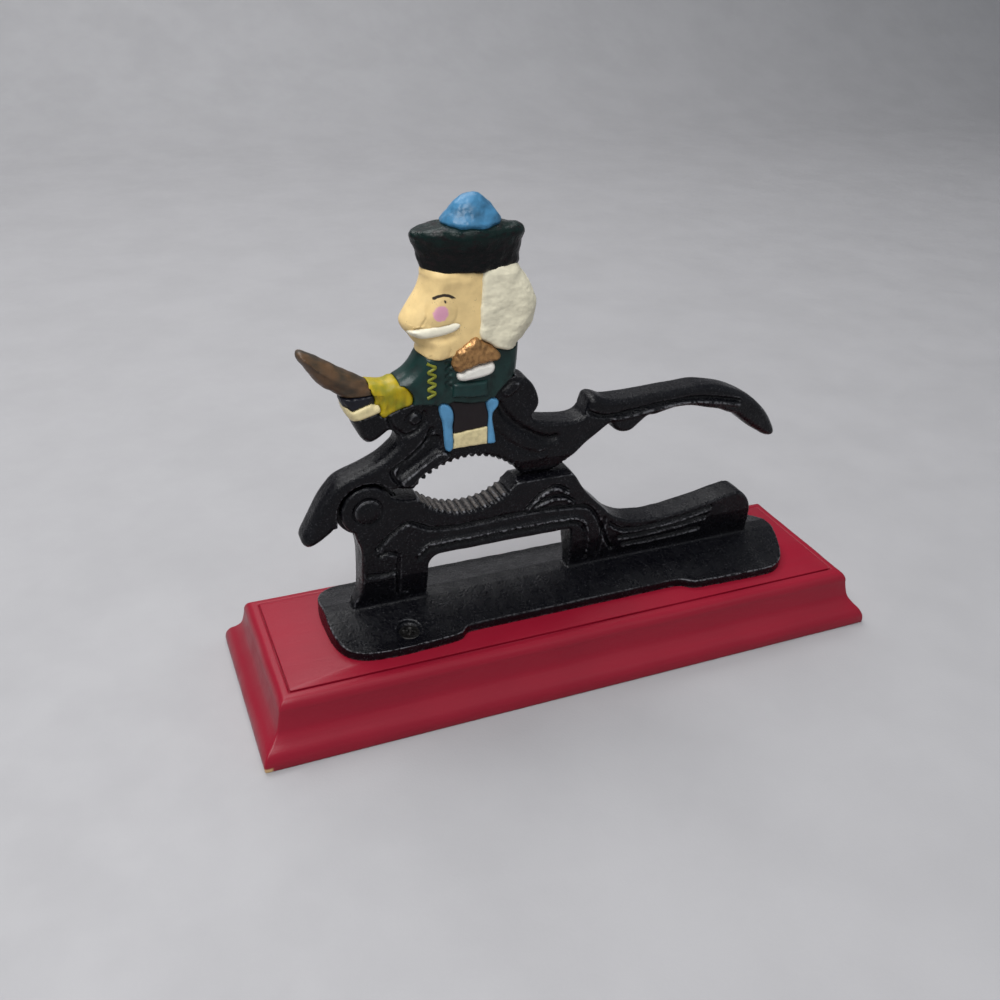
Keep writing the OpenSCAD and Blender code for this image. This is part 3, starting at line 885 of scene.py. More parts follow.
class Sheet:
    """A material's node tree while it is being built."""

    def __init__(self, name):
        self.material = bpy.data.materials.new(name)
        self.material.use_nodes = True
        self.tree = self.material.node_tree
        self.tree.nodes.clear()
        self.output = self.add("ShaderNodeOutputMaterial")
        self.surface = self.add("ShaderNodeBsdfPrincipled")
        self.join(self.surface.outputs["BSDF"], self.output.inputs["Surface"])
        self.place = self.add("ShaderNodeTexCoord").outputs["Object"]

    def add(self, kind, **values):
        node = self.tree.nodes.new(kind)
        for key, value in values.items():
            setattr(node, key, value)
        return node

    def join(self, source, target):
        self.tree.links.new(source, target)

    def set(self, **values):
        """Sets plain values on the shader's own sockets."""
        for key, value in values.items():
            socket = self.surface.inputs[key.replace("_", " ")]
            socket.default_value = value

    def stretched(self, scale):
        """Object coordinates scaled along each axis."""
        mapping = self.add("ShaderNodeMapping")
        mapping.inputs["Scale"].default_value = scale
        self.join(self.place, mapping.inputs["Vector"])
        return mapping.outputs["Vector"]

    def noise(self, size_mm, detail=3, stretch=None, distortion=0.0):
        """Noise with features of about a size."""
        node = self.add("ShaderNodeTexNoise")
        node.inputs["Scale"].default_value = 1 / (size_mm * MM)
        node.inputs["Detail"].default_value = detail
        node.inputs["Roughness"].default_value = 0.55
        node.inputs["Distortion"].default_value = distortion
        self.join(self.stretched(stretch) if stretch else self.place, node.inputs["Vector"])
        return node.outputs["Fac"]

    def spots(self, size_mm, radius):
        """1 in scattered round spots, 0 between them."""
        node = self.add("ShaderNodeTexVoronoi")
        node.inputs["Scale"].default_value = 1 / (size_mm * MM)
        self.join(self.place, node.inputs["Vector"])
        return self.remap(node.outputs["Distance"], radius, radius + 0.15, 1, 0)

    def remap(self, source, from_low, from_high, to_low=0.0, to_high=1.0):
        """A value taken smoothly from one range to another, and held at its ends."""
        node = self.add("ShaderNodeMapRange", interpolation_type="SMOOTHSTEP")
        for key, value in zip(
            ("From Min", "From Max", "To Min", "To Max"), (from_low, from_high, to_low, to_high)
        ):
            node.inputs[key].default_value = value
        self.join(source, node.inputs["Value"])
        return node.outputs["Result"]

    def math(self, operation, a, b=None):
        node = self.add("ShaderNodeMath", operation=operation)
        for socket, value in zip(node.inputs, (a, b)):
            if isinstance(value, (int, float)):
                socket.default_value = value
            elif value is not None:
                self.join(value, socket)
        return node.outputs[0]

    def mix(self, share, a, b):
        """Colour a where share is 0, and b where it is 1."""
        node = self.add("ShaderNodeMix", data_type="RGBA")
        self.join(share, node.inputs["Factor"])
        for socket, value in zip((node.inputs[6], node.inputs[7]), (a, b)):
            if isinstance(value, bpy.types.NodeSocket):
                self.join(value, socket)
            else:
                socket.default_value = (*value, 1)
        return node.outputs[2]

    def axis(self, name):
        """One object coordinate, in millimetres."""
        node = self.add("ShaderNodeSeparateXYZ")
        self.join(self.place, node.inputs[0])
        return self.math("MULTIPLY", node.outputs[name], 1 / MM)

    def edge_wear_and_highlight(self, low, high):
        """1 on edges that stand out, 0 elsewhere."""
        return self.remap(self.add("ShaderNodeNewGeometry").outputs["Pointiness"], low, high)

    def bump(self, *layers):
        """Bump of several (height, depth in mm) layers."""
        normal = None
        for height, depth in layers:
            node = self.add("ShaderNodeBump")
            node.inputs["Strength"].default_value = 1
            node.inputs["Distance"].default_value = depth * MM
            self.join(height, node.inputs["Height"])
            if normal is not None:
                self.join(normal, node.inputs["Normal"])
            normal = node.outputs["Normal"]
        self.join(normal, self.surface.inputs["Normal"])

    def finish(self, base, rough):
        """The material, with its colour and roughness joined."""
        self.join(base, self.surface.inputs["Base Color"])
        self.join(rough, self.surface.inputs["Roughness"])
        return self.material


def shade(colour_value, factor):
    """A darker or lighter version of a colour."""
    return tuple(min(1, c * factor) for c in colour_value)


def iron_material(paint):
    """Semi-gloss black enamel over sand-cast iron, rubbed through on its edges, with painted highlights
    along those edges and painted glints in its grain.
    """
    sheet = Sheet("black_enamel_on_iron")
    broad = sheet.noise(9)
    grit = sheet.noise(0.55, 4)
    patches = sheet.remap(sheet.noise(1.3, 5), 0.43, 0.56)
    # The pale edge colour is partly real rubbed enamel and partly painted highlight lines where the edges
    # catch the light.
    worn = sheet.math("MULTIPLY", sheet.edge_wear_and_highlight(0.515, 0.56), patches)
    base = sheet.mix(broad, shade(paint.iron, 0.7), shade(paint.iron, 1.4))
    base = sheet.mix(worn, base, paint.iron_wear_and_highlight)
    # Painted glints: sparse bright specks that stand in for the sand-cast grain catching the light.
    flecks_and_glints = sheet.math("MULTIPLY", sheet.remap(sheet.noise(0.45, 2), 0.62, 0.7), broad)
    base = sheet.mix(flecks_and_glints, base, shade(paint.iron_wear_and_highlight, 0.6))
    rough = sheet.remap(sheet.noise(3.2, 4), 0.3, 0.7, 0.22, 0.36)
    sheet.bump((sheet.noise(2.6, 3), 0.2), (sheet.noise(1.05, 3), 0.24), (grit, 0.16))
    sheet.set(Specular_IOR_Level=0.2)
    return sheet.finish(base, rough)


def bare_iron_material(paint):
    """Rough dark iron with its enamel worn off the crests."""
    sheet = Sheet("worn_iron")
    worn = sheet.remap(sheet.noise(0.7, 4), 0.35, 0.6)
    base = sheet.mix(worn, shade(paint.iron, 3), paint.iron_bare)
    sheet.bump((sheet.noise(0.6, 4), 0.2), (sheet.noise(2.2, 2), 0.2))
    sheet.set(Specular_IOR_Level=0.3)
    return sheet.finish(base, sheet.remap(sheet.noise(1.5, 3), 0.3, 0.7, 0.4, 0.6))


def paint_material(
    name, base_colour, second=None, size=2.4, rough=(0.36, 0.5), streak=None, depth=0.06, metal=0.0
):
    """Brushed hobby enamel: uneven colour, a little darker in places, with faint brush marks."""
    sheet = Sheet(name)
    second = second or shade(base_colour, 0.72)
    tone = sheet.remap(sheet.noise(size, 4, streak), 0.38, 0.68)
    base = sheet.mix(tone, base_colour, second)
    base = sheet.mix(sheet.remap(sheet.noise(7, 2), 0.35, 0.75, 0, 0.5), base, shade(base_colour, 1.12))
    gloss = sheet.remap(sheet.noise(3, 3), 0.3, 0.7, *rough)
    sheet.set(Specular_IOR_Level=0.3)
    sheet.bump((sheet.noise(1.3, 3, streak), depth), (sheet.noise(0.4, 2), 0.02))
    sheet.set(Metallic=metal)
    return sheet.finish(base, gloss)


def skin_material(paint):
    """Face paint with a pink cheek, a curved brow and an eye dot on both sides."""
    sheet = Sheet("face_paint")
    x, z = sheet.axis("X"), sheet.axis("Z")
    wobble = sheet.remap(sheet.noise(1.2, 2), 0, 1, -0.35, 0.35)

    def away(centre_x, centre_z, unsteady=1.0):
        dx = sheet.math("SUBTRACT", x, centre_x)
        dz = sheet.math("SUBTRACT", z, centre_z)
        total = sheet.math("ADD", sheet.math("MULTIPLY", dx, dx), sheet.math("MULTIPLY", dz, dz))
        return sheet.math("ADD", sheet.math("SQRT", total), sheet.math("MULTIPLY", wobble, unsteady))

    base = sheet.mix(sheet.remap(sheet.noise(6, 3), 0.35, 0.7), paint.skin, shade(paint.skin, 0.86))
    flecks_and_glints = sheet.math("MULTIPLY", sheet.spots(0.8, 0.14), sheet.remap(sheet.noise(5, 2), 0.55, 0.66))
    base = sheet.mix(sheet.math("MULTIPLY", flecks_and_glints, 0.4), base, shade(paint.brow, 4))
    cheek = sheet.remap(away(-53.5, 144), 2.2, 2.9, 0.85, 0)
    base = sheet.mix(cheek, base, paint.cheek)
    ring = sheet.math("ABSOLUTE", sheet.math("SUBTRACT", away(-52.5, 144.6, 0.3), 5.2))
    arc = sheet.math("MULTIPLY", sheet.remap(ring, 0.38, 0.54, 1, 0), sheet.remap(z, 148.3, 148.6))
    arc = sheet.math("MULTIPLY", arc, sheet.remap(x, -56.1, -55.8))
    dot = sheet.remap(away(-52.1, 147.9), 0.35, 0.6, 1, 0)
    base = sheet.mix(sheet.math("MAXIMUM", arc, dot), base, paint.brow)
    rough = sheet.remap(sheet.noise(3, 3), 0.3, 0.7, 0.42, 0.55)
    sheet.set(Specular_IOR_Level=0.3)
    sheet.bump((sheet.noise(2.2, 3), 0.09), (sheet.noise(0.5, 2), 0.02))
    return sheet.finish(base, rough)


def lacquer_material(paint):
    """Satin red lacquer over wood, with faint grain along X and a chip at a toe."""
    sheet = Sheet("red_lacquer")
    grain = sheet.noise(1.1, 4, (0.035, 1, 1), distortion=0.4)
    streaks = sheet.remap(sheet.noise(3.2, 4, (0.03, 1, 1)), 0.35, 0.72)
    base = sheet.mix(streaks, paint.lacquer, paint.lacquer_dark)
    base = sheet.mix(sheet.remap(sheet.noise(30, 2), 0.3, 0.7, 0, 0.35), base, shade(paint.lacquer, 1.2))
    worn = sheet.math("MULTIPLY", sheet.edge_wear_and_highlight(0.54, 0.62), sheet.remap(sheet.noise(5, 3), 0.4, 0.65))
    base = sheet.mix(sheet.math("MULTIPLY", worn, 0.35), base, (0.72, 0.28, 0.26))
    x, y, z = (sheet.axis(a) for a in "XYZ")
    near_x = sheet.remap(x, BASE_LOW.x + 2.2, BASE_LOW.x + 3.4, 1, 0)
    near_y = sheet.remap(y, BASE_LOW.y + 2.2, BASE_LOW.y + 3.4, 1, 0)
    low_z = sheet.remap(sheet.math("ADD", z, sheet.noise(2, 3)), 2.0, 2.9, 1, 0)
    chip = sheet.math("MULTIPLY", sheet.math("MULTIPLY", near_x, near_y), low_z)
    base = sheet.mix(chip, base, paint.raw_wood)
    rough = sheet.remap(sheet.noise(9, 3, (0.2, 1, 1)), 0.3, 0.7, 0.30, 0.40)
    sheet.bump((grain, 0.04), (sheet.noise(1.0, 3), 0.05))
    sheet.set(Specular_IOR_Level=0.26)
    return sheet.finish(base, rough)


def steel_material(name, tint, rough=(0.28, 0.5)):
    """Dark steel with brushed and stained patches."""
    sheet = Sheet(name)
    base = sheet.mix(sheet.remap(sheet.noise(0.9, 4), 0.4, 0.65), tint, shade(tint, 0.35))
    sheet.set(Metallic=1.0)
    sheet.bump((sheet.noise(0.5, 3), 0.03),)
    return sheet.finish(base, sheet.remap(sheet.noise(1.4, 3), 0.3, 0.7, *rough))


def hat_material(paint):
    """Green-black hat, greener towards its rim."""
    sheet = Sheet("hat_paint")
    z = sheet.math("ADD", sheet.axis("Z"), sheet.remap(sheet.noise(4, 3), 0, 1, -3, 3))
    base = sheet.mix(sheet.remap(z, 163, 168), paint.hat, shade(paint.coat, 0.4))
    base = sheet.mix(sheet.remap(sheet.noise(1.6, 4, (0.5, 0.5, 1.4)), 0.45, 0.75), base, paint.umber)
    sheet.bump((sheet.noise(2.4, 4), 0.3), (sheet.noise(0.6, 3), 0.06))
    sheet.set(Specular_IOR_Level=0.17)
    return sheet.finish(base, sheet.remap(sheet.noise(3, 3), 0.3, 0.7, 0.22, 0.4))


def floor_material(paint):
    """Pale matt floor."""
    sheet = Sheet("pale_floor")
    base = sheet.mix(sheet.remap(sheet.noise(60, 4), 0.3, 0.7), paint.floor, shade(paint.floor, 0.94))
    sheet.bump((sheet.noise(1.2, 2), 0.05),)
    return sheet.finish(base, sheet.remap(sheet.noise(20, 2), 0.3, 0.7, 0.6, 0.75))


def form_material(name, paint):
    """The paint of one form, mixed once and shared."""
    found = bpy.data.materials.get(name + "_enamel")
    if found:
        return found
    base = tuple(getattr(paint, name))
    special = {
        "copper": dict(second=shade(base, 0.5), size=1.2, rough=(0.28, 0.42), depth=0.2, metal=0.65),
        "hair": dict(second=shade(base, 0.84), size=2.2, rough=(0.5, 0.65), streak=(0.6, 1, 1.5)),
        "yellow": dict(second=tuple(paint.moss), size=5.5, streak=(1.5, 1, 0.6), depth=0.08),
        "horn": dict(second=tuple(paint.horn_dark), size=5.5, streak=(0.5, 1, 1), depth=0.1),
        "blue": dict(second=shade(base, 0.8), size=2.6),
        "tuft": dict(second=shade(base, 0.55), size=4.5, rough=(0.28, 0.42), depth=0.14),
        "white": dict(second=shade(base, 0.9), size=2.6),
        "whisker": dict(second=shade(base, 0.9), size=2.6),
        "cream": dict(second=shade(base, 0.78), size=1.8, depth=0.1),
        "coat": dict(second=shade(base, 0.5), size=3, rough=(0.3, 0.44)),
        "cuff": dict(second=shade(base, 0.6), size=3, rough=(0.3, 0.44)),
    }
    return paint_material(name + "_enamel", base, **special.get(name, {}))


# ---- Geometry node trees -------------------------------------------------------------------------


class Maker:
    """A geometry node tree while it is being built."""

    def __init__(self, name, inputs):
        self.tree = bpy.data.node_groups.new(name, "GeometryNodeTree")
        self.tree.interface.new_socket("Geometry", in_out="OUTPUT", socket_type="NodeSocketGeometry")
        self.ids = {}
        for label, kind in inputs:
            socket = self.tree.interface.new_socket(label, in_out="INPUT", socket_type=kind)
            self.ids[label] = socket.identifier
        self.input = self.tree.nodes.new("NodeGroupInput")
        self.output = self.tree.nodes.new("NodeGroupOutput")

    def add(self, kind, links=None, **values):
        node = self.tree.nodes.new(kind)
        for key, value in values.items():
            setattr(node, key, value)
        for key, source in (links or {}).items():
            socket = node.inputs[key]
            if isinstance(source, bpy.types.NodeSocket):
                self.tree.links.new(source, socket)
            else:
                socket.default_value = source
        return node

    def given(self, label):
        """The socket of a named input."""
        return self.input.outputs[label]

    def math(self, operation, a, b=0.0):
        return self.add("ShaderNodeMath", {0: a, 1: b}, operation=operation).outputs[0]

    def end(self, geometry, material):
        """Realizes the instances, sets the material and closes the tree."""
        real = self.add("GeometryNodeRealizeInstances", {"Geometry": geometry})
        coated = self.add(
            "GeometryNodeSetMaterial", {"Geometry": real.outputs[0], "Material": material}
        )
        self.tree.links.new(coated.outputs[0], self.output.inputs[0])

    def run(self, name, values):
        """A plain mesh object made by the tree."""
        obj = object_of(name, bpy.data.meshes.new(name))
        modifier = obj.modifiers.new("maker", "NODES")
        modifier.node_group = self.tree
        for label, value in values.items():
            modifier[self.ids[label]] = value
        apply_modifiers(obj)
        return obj


def tooth_mesh(radius, half_width):
    """A ridge along Y with rounded ends and a half-round top, pointing to +Z."""
    around, rings = 9, 8
    points, faces = [], []
    for j in range(rings + 1):
        t = j / rings * 2 - 1
        y = half_width * t
        r = radius * math.sqrt(max(1 - abs(t) ** 8, 0.02))
        for i in range(around):
            a = math.pi * i / (around - 1)
            points.append((r * 1.08 * math.cos(a), y, r * math.sin(a) ** 0.9 - 0.25))
    for j in range(rings):
        for i in range(around - 1):
            a = j * around + i
            faces.append((a, a + 1, a + around + 1, a + around))
        faces.append((j * around, (j + 1) * around, (j + 2) * around - 1, (j + 1) * around - 1))
    faces.append(tuple(range(around)))
    faces.append(tuple(range(rings * around, (rings + 1) * around)))
    mesh = mesh_from("tooth", points, faces)
    smooth_shading(mesh, math.radians(50))
    return mesh


def tooth_row_tree():
    """Teeth set round an arc that is seen along Y."""
    maker = Maker(
        "tooth_row",
        [
            ("Tooth", "NodeSocketObject"),
            ("Material", "NodeSocketMaterial"),
            ("Count", "NodeSocketInt"),
            ("Radius", "NodeSocketFloat"),
            ("Start", "NodeSocketFloat"),
            ("Step", "NodeSocketFloat"),
            ("Centre", "NodeSocketVector"),
            ("Seed", "NodeSocketInt"),
        ],
    )
    index = maker.add("GeometryNodeInputIndex").outputs[0]
    angle = maker.math("MULTIPLY_ADD", index, maker.given("Step"))
    maker.tree.links.new(maker.given("Start"), angle.node.inputs[2])
    x = maker.math("MULTIPLY", maker.math("COSINE", angle), maker.given("Radius"))
    z = maker.math("MULTIPLY", maker.math("SINE", angle), maker.given("Radius"))
    offset = maker.add("ShaderNodeCombineXYZ", {"X": x, "Z": z}).outputs[0]
    place = maker.add(
        "ShaderNodeVectorMath", {0: offset, 1: maker.given("Centre")}, operation="ADD"
    ).outputs[0]
    line = maker.add("GeometryNodeMeshLine", {"Count": maker.given("Count")}, mode="OFFSET")
    row = maker.add(
        "GeometryNodeSetPosition", {"Geometry": line.outputs[0], "Position": place}
    ).outputs[0]
    turn = maker.math("SUBTRACT", -math.pi / 2, angle)
    facing = maker.add("ShaderNodeCombineXYZ", {"Y": turn}).outputs[0]
    uneven = maker.add(
        "FunctionNodeRandomValue",
        {0: (0.9, 0.98, 0.85), 1: (1.12, 1.02, 1.15), "Seed": maker.given("Seed")},
        data_type="FLOAT_VECTOR",
    ).outputs[0]
    pattern = maker.add("GeometryNodeObjectInfo", {"Object": maker.given("Tooth")})
    teeth = maker.add(
        "GeometryNodeInstanceOnPoints",
        {
            "Points": row,
            "Instance": pattern.outputs["Geometry"],
            "Rotation": facing,
            "Scale": uneven,
        },
    ).outputs[0]
    maker.end(teeth, maker.given("Material"))
    return maker


def screw_pair_tree():
    """The same screw set at two points, each turned by chance."""
    maker = Maker(
        "screw_pair",
        [
            ("Screw", "NodeSocketObject"),
            ("Material", "NodeSocketMaterial"),
            ("First", "NodeSocketVector"),
            ("Last", "NodeSocketVector"),
            ("Seed", "NodeSocketInt"),
        ],
    )
    line = maker.add(
        "GeometryNodeMeshLine",
        {
            "Count": 2,
            "Start Location": maker.given("First"),
            "Offset": maker.given("Last"),
        },
        mode="END_POINTS",
    )
    turn = maker.add(
        "FunctionNodeRandomValue",
        {2: 0.2, 3: 1.2, "Seed": maker.given("Seed")},
        data_type="FLOAT",
    ).outputs[1]
    facing = maker.add("ShaderNodeCombineXYZ", {"Z": turn}).outputs[0]
    pattern = maker.add("GeometryNodeObjectInfo", {"Object": maker.given("Screw")})
    screws = maker.add(
        "GeometryNodeInstanceOnPoints",
        {"Points": line.outputs[0], "Instance": pattern.outputs["Geometry"], "Rotation": facing},
    ).outputs[0]
    maker.end(screws, maker.given("Material"))
    return maker


def zigzag_tree():
    """A rounded cord of paint in a zigzag down each side of the jacket."""
    maker = Maker(
        "zigzag_braid",
        [
            ("Material", "NodeSocketMaterial"),
            ("Points", "NodeSocketInt"),
            ("Top", "NodeSocketVector"),
            ("Width", "NodeSocketFloat"),
            ("Drop", "NodeSocketFloat"),
            ("Thickness", "NodeSocketFloat"),
            ("Bend", "NodeSocketFloat"),
        ],
    )
    index = maker.add("GeometryNodeInputIndex").outputs[0]
    swing = maker.math("MULTIPLY", maker.math("MODULO", index, 2.0), maker.given("Width"))
    fall = maker.math("MULTIPLY", index, maker.given("Drop"))
    offset = maker.add("ShaderNodeCombineXYZ", {"X": swing, "Z": fall}).outputs[0]
    place = maker.add(
        "ShaderNodeVectorMath", {0: offset, 1: maker.given("Top")}, operation="ADD"
    ).outputs[0]
    line = maker.add("GeometryNodeMeshLine", {"Count": maker.given("Points")}, mode="OFFSET")
    row = maker.add(
        "GeometryNodeSetPosition", {"Geometry": line.outputs[0], "Position": place}
    ).outputs[0]
    path = maker.add("GeometryNodeMeshToCurve", {"Mesh": row}).outputs[0]
    path = maker.add("GeometryNodeFilletCurve", {"Curve": path, "Radius": maker.given("Bend")})
    path.mode = "POLY"
    path.inputs["Count"].default_value = 5
    ring = maker.add(
        "GeometryNodeCurvePrimitiveCircle", {"Radius": maker.given("Thickness"), "Resolution": 12}
    ).outputs[0]
    cord = maker.add(
        "GeometryNodeCurveToMesh",
        {"Curve": path.outputs[0], "Profile Curve": ring, "Fill Caps": True},
    ).outputs[0]
    maker.end(cord, maker.given("Material"))
    return maker


# ---- Pieces --------------------------------------------------------------------------------------


def base_profile(size):
    """The base's edge from its underside to its panel, as (inset, z) with a closely stepped curve."""
    upright, toe, groove = size.upright, size.toe, size.groove_inset
    top = BASE_TOP
    moulding = curve_through(
        [
            (0.2, 0.3),
            (0, 0.4 * toe),
            (0.05 * upright, 0.72 * toe),
            (0.22 * upright, toe + 0.6),
            (0.52 * upright, toe + 2.8),
            (0.8 * upright, toe + 5.6),
            (0.93 * upright, toe + 8.8),
            (upright, top - 5.4),
            (upright + 0.25, top - 3.4),
            (upright + 1.2, top - 1.5),
            (upright + 2.7, top - 0.55),
            (groove - 0.7, top - 0.35),
        ],
        4,
    )
    bead_edge = [
        (groove - 0.3, top - 0.5),
        (groove - 0.12, top - size.groove_depth),
        (groove + 0.12, top - size.groove_depth),
        (groove + 0.35, top - 0.15),
        (groove + 0.7, top),
    ]
    return [(0.8, 0), *map(tuple, moulding), *bead_edge]


def base_mesh(size):
    """The moulding mitred round the base, with a flat panel and underside."""
    half_x, half_y = BASE_HIGH.x, BASE_HIGH.y
    corner_radius, corner_steps, cell = 0.7, 3, 6.0

    def ring(inset, z):
        """Rectangle with slightly eased corners, with points every few millimetres."""
        x, y = half_x - inset - corner_radius, half_y - inset - corner_radius
        corners = ((1, 1, -1, 0), (-1, 1, 0, -1), (-1, -1, 1, 0), (1, -1, 0, 1))
        points = []
        for turn, (side_x, side_y, way_x, way_y) in enumerate(corners):
            for k in range(corner_steps + 1):
                a = math.radians(90 * turn + 90 * k / corner_steps)
                points.append(
                    (side_x * x + corner_radius * math.cos(a), side_y * y + corner_radius * math.sin(a), z)
                )
            last, way = Vector(points[-1]), Vector((way_x, way_y, 0))
            steps = round(2 * (half_x if way_x else half_y) / cell)
            span = 2 * (x if way_x else y)
            for k in range(1, steps):
                points.append(tuple(last + way * span * k / steps))
        return points

    rings = [ring(inset, z) for inset, z in base_profile(size)]
    points = [point for one in rings for point in one]
    faces = tube_faces(len(rings), len(rings[0]))
    mesh = mesh_from("wooden_base_turned", points, faces)
    shape = Shape(mesh)
    sanding = 0.18 + ripple(shape.co, 26, 0.09, 3)
    sanding *= ease(shape.co[:, 2], 0.5, 3) * (1 - ease(shape.co[:, 2], BASE_TOP - 1.2, BASE_TOP - 0.2))
    moulded = 13  # width of the border outside the flat panel
    for axis, half in ((0, half_x), (1, half_y)):
        at = shape.co[:, axis].copy()
        shape.co[:, axis] -= sanding * np.sign(at) * (np.abs(at) > half - moulded)
    shape.store()
    smooth_shading(mesh, math.radians(42))
    return mesh


def lathe(name, profile, centre, axis, segments=64, wobble=0.0):
    """A turned piece: profile points (radius, height) about an axis, closed at both ends."""
    points = []
    side = Vector((1, 0, 0))
    other = axis.cross(side)
    for j, (radius, height) in enumerate(profile):
        for a in circle(segments):
            r = radius * (1 + wobble * math.sin(3 * a + j) * math.sin(1.7 * a + 2 * j))
            points.append(centre + axis * height + (side * math.cos(a) + other * math.sin(a)) * r)
    return mesh_from(name, points, tube_faces(len(profile), segments))


def rivet_mesh(hardware):
    """The hinge rivet: a shank between two low, slightly domed heads."""
    half = (PIN_HIGH.y - PIN_LOW.y) / 2
    head_radius = hardware.rivet_radius
    shank = 2.5
    rim = hardware.rivet_rim
    side = CASTING_HALF
    crown = []
    for k in range(7):
        a = math.radians(90 * k / 6)
        crown.append((head_radius - rim + rim * math.cos(a), side + 0.1 + (half - side - 0.5) * math.sin(a)))
    crown += [(head_radius * s, half - 0.4 + 0.4 * (1 - s * s)) for s in (0.6, 0.4, 0.2, 0.05)]
    upper = [(shank, side - 0.4), (head_radius - 0.1, side - 0.05)] + crown
    profile = [(r, -h) for r, h in reversed(upper)] + [(shank, 0)] + upper
    mesh = lathe("hinge_rivet", profile, PIN, Vector((0, 1, 0)), wobble=0.006)
    smooth_shading(mesh, math.radians(50))
    return mesh


def screw_mesh(hardware):
    """A countersunk wood screw with a crossed recess, its head's top at the origin."""
    low, high = box_mm("base_screws")
    total = high.z - low.z
    head, shank = hardware.head_radius, hardware.shank_radius
    head_deep = 2.4
    thread_from, tip_length = 5, 3.2
    segments = 48
    points = []

    def recess(radius, x, y):
        """Depth of the crossed recess at a point of the head."""
        arm, reach = sorted((abs(x), abs(y)))
        slot = 1 - min(1, max(0, (arm - 0.42) / 0.2))
        end = 1 - min(1, max(0, (reach - 2.1) / 0.4))
        return 1.3 * slot * end + 0.5 * max(0, 1 - radius / 1.2)

    for k in range(15):
        radius = 0.12 + (head - 0.5) * k / 14
        for a in circle(segments):
            x, y = radius * math.cos(a), radius * math.sin(a)
            points.append((x, y, -0.15 - recess(radius, x, y)))
    for radius, z in ((head - 0.12, -0.2), (head, -0.42), (shank + 0.15, -head_deep)):
        points += [(radius * math.cos(a), radius * math.sin(a), z) for a in circle(segments)]
    rows = int((total - head_deep) / hardware.thread_pitch * 10)
    for j in range(rows + 1):
        z = -head_deep - (total - head_deep) * j / rows
        tip = min(1, (total + z) / tip_length + 0.12)
        thread = min(1, max(0, (-z - thread_from) / 1.5))
        for i, a in enumerate(circle(segments)):
            phase = (-z / hardware.thread_pitch + i / segments) % 1
            crest = hardware.thread_height * max(0, 1 - abs(phase - 0.5) * 5)
            r = (shank + 0.15 - 0.3 * thread + crest * thread) * tip
            points.append((r * math.cos(a), r * math.sin(a), z))
    faces = tube_faces(len(points) // segments, segments)
    mesh = mesh_from("wood_screw", points, faces)
    smooth_shading(mesh, math.radians(35))
    return mesh


def oval_loft(name, centre, rings, segments=96):
    """Ovals stacked along Z: each ring is (half length, half depth, z, shift in x)."""
    points = []
    for half_x, half_y, z, shift in rings:
        for a in circle(segments):
            points.append((centre[0] + shift + half_x * math.cos(a), centre[1] + half_y * math.sin(a), z))
    return mesh_from(name, points, tube_faces(len(rings), segments))


def hat_mesh():
    """Oval hat, wider at its top, with soft edges and a crown that rises to the pompom."""
    centre = ((HAT_LOW.x + HAT_HIGH.x) / 2, MID_Y)
    top_x = (HAT_HIGH.x - HAT_LOW.x) / 2
    depth = (HAT_HIGH.y - HAT_LOW.y) / 2 / top_x
    low_x = top_x * 0.885
    low_z, high_z = HAT_LOW.z, HAT_HIGH.z
    tall = high_z - low_z
    rings = []
    for k in range(5):
        a = math.radians(90 * k / 4)
        r = low_x - 2.0 + 2.0 * math.sin(a)
        rings.append((r, r * depth, low_z + 1.4 * (1 - math.cos(a)), 0.9))
    for k in range(1, 16):
        t = k / 16
        bulge = 0.35 * math.sin(math.pi * t)
        r = low_x + (top_x - low_x) * t**1.15 - bulge
        rings.append((r, r * depth, low_z + 1.4 + (tall - 4.6) * t, 0.9 * (1 - t)))
    for k in range(7):
        a = math.radians(90 * k / 6)
        r = top_x - 2.6 + 2.6 * math.cos(a)
        rings.append((r, r * depth, high_z - 3.2 + 2.4 * math.sin(a), 0))
    for k in range(1, 10):
        t = k / 10
        r = (top_x - 2.6) * (1 - t)
        rise = -0.8 + 2.5 * t**0.9
        rings.append((r + 0.3, (r + 0.3) * depth, high_z + rise, 0.6 * t))
    shape = Shape(even_mesh(oval_loft("hat_form", centre, rings), 0.42))
    shape.relax(4)
    normals = shape.normals()
    uneven = ripple(shape.co, 15, 0.22, 5) + lumps(shape.co, 3.4, 0.4, 4) + lumps(shape.co, 1.3, 0.1, 8)
    shape.co += normals * uneven[:, None]
    shape.relax(1)
    shape.store()
    smooth_shading(shape.mesh)
    return shape.mesh


def pompom_mesh():
    """Pointed dome on top of the hat."""
    centre = ((POMPOM_LOW.x + POMPOM_HIGH.x) / 2, MID_Y)
    half_x = (POMPOM_HIGH.x - POMPOM_LOW.x) / 2
    half_y = (POMPOM_HIGH.y - POMPOM_LOW.y) / 2
    low_z, tall = POMPOM_LOW.z, POMPOM_HIGH.z - POMPOM_LOW.z
    half_y *= 1.06
    sunk = 0.9
    rings = [(half_x * 0.9, half_y * 0.9, low_z - 1.5, 0)]
    steps = 18
    for k in range(steps):
        t = 1 - (1 - k / (steps - 0.5)) ** 1.7
        r = (1 - t) ** 0.55
        rings.append((half_x * r, half_y * r, low_z + sunk + (tall - 0.1 - sunk) * t, 0.3 * t))
    shape = Shape(even_mesh(oval_loft("pompom_form", centre, rings, 64), 0.34))
    shape.relax(4)
    uneven = lumps(shape.co, 3.2, 0.35, 6) + lumps(shape.co, 1.2, 0.12, 7)
    shape.co += shape.normals() * uneven[:, None]
    shape.relax(1)
    shape.store()
    smooth_shading(shape.mesh)
    return shape.mesh


# ---- Operators -----------------------------------------------------------------------------------


class NUTCRACKER_OT_base(bpy.types.Operator):
    """Build the moulded wooden base"""

    bl_idname = "nutcracker.base"
    bl_label = "Wooden base"

    def execute(self, context):
        obj = object_of("wooden_base_moulded", base_mesh(settings(context, "base")))
        material = lacquer_material(settings(context, "paint"))
        settle(obj, STAND, material, ["wooden_base"])
        return {"FINISHED"}


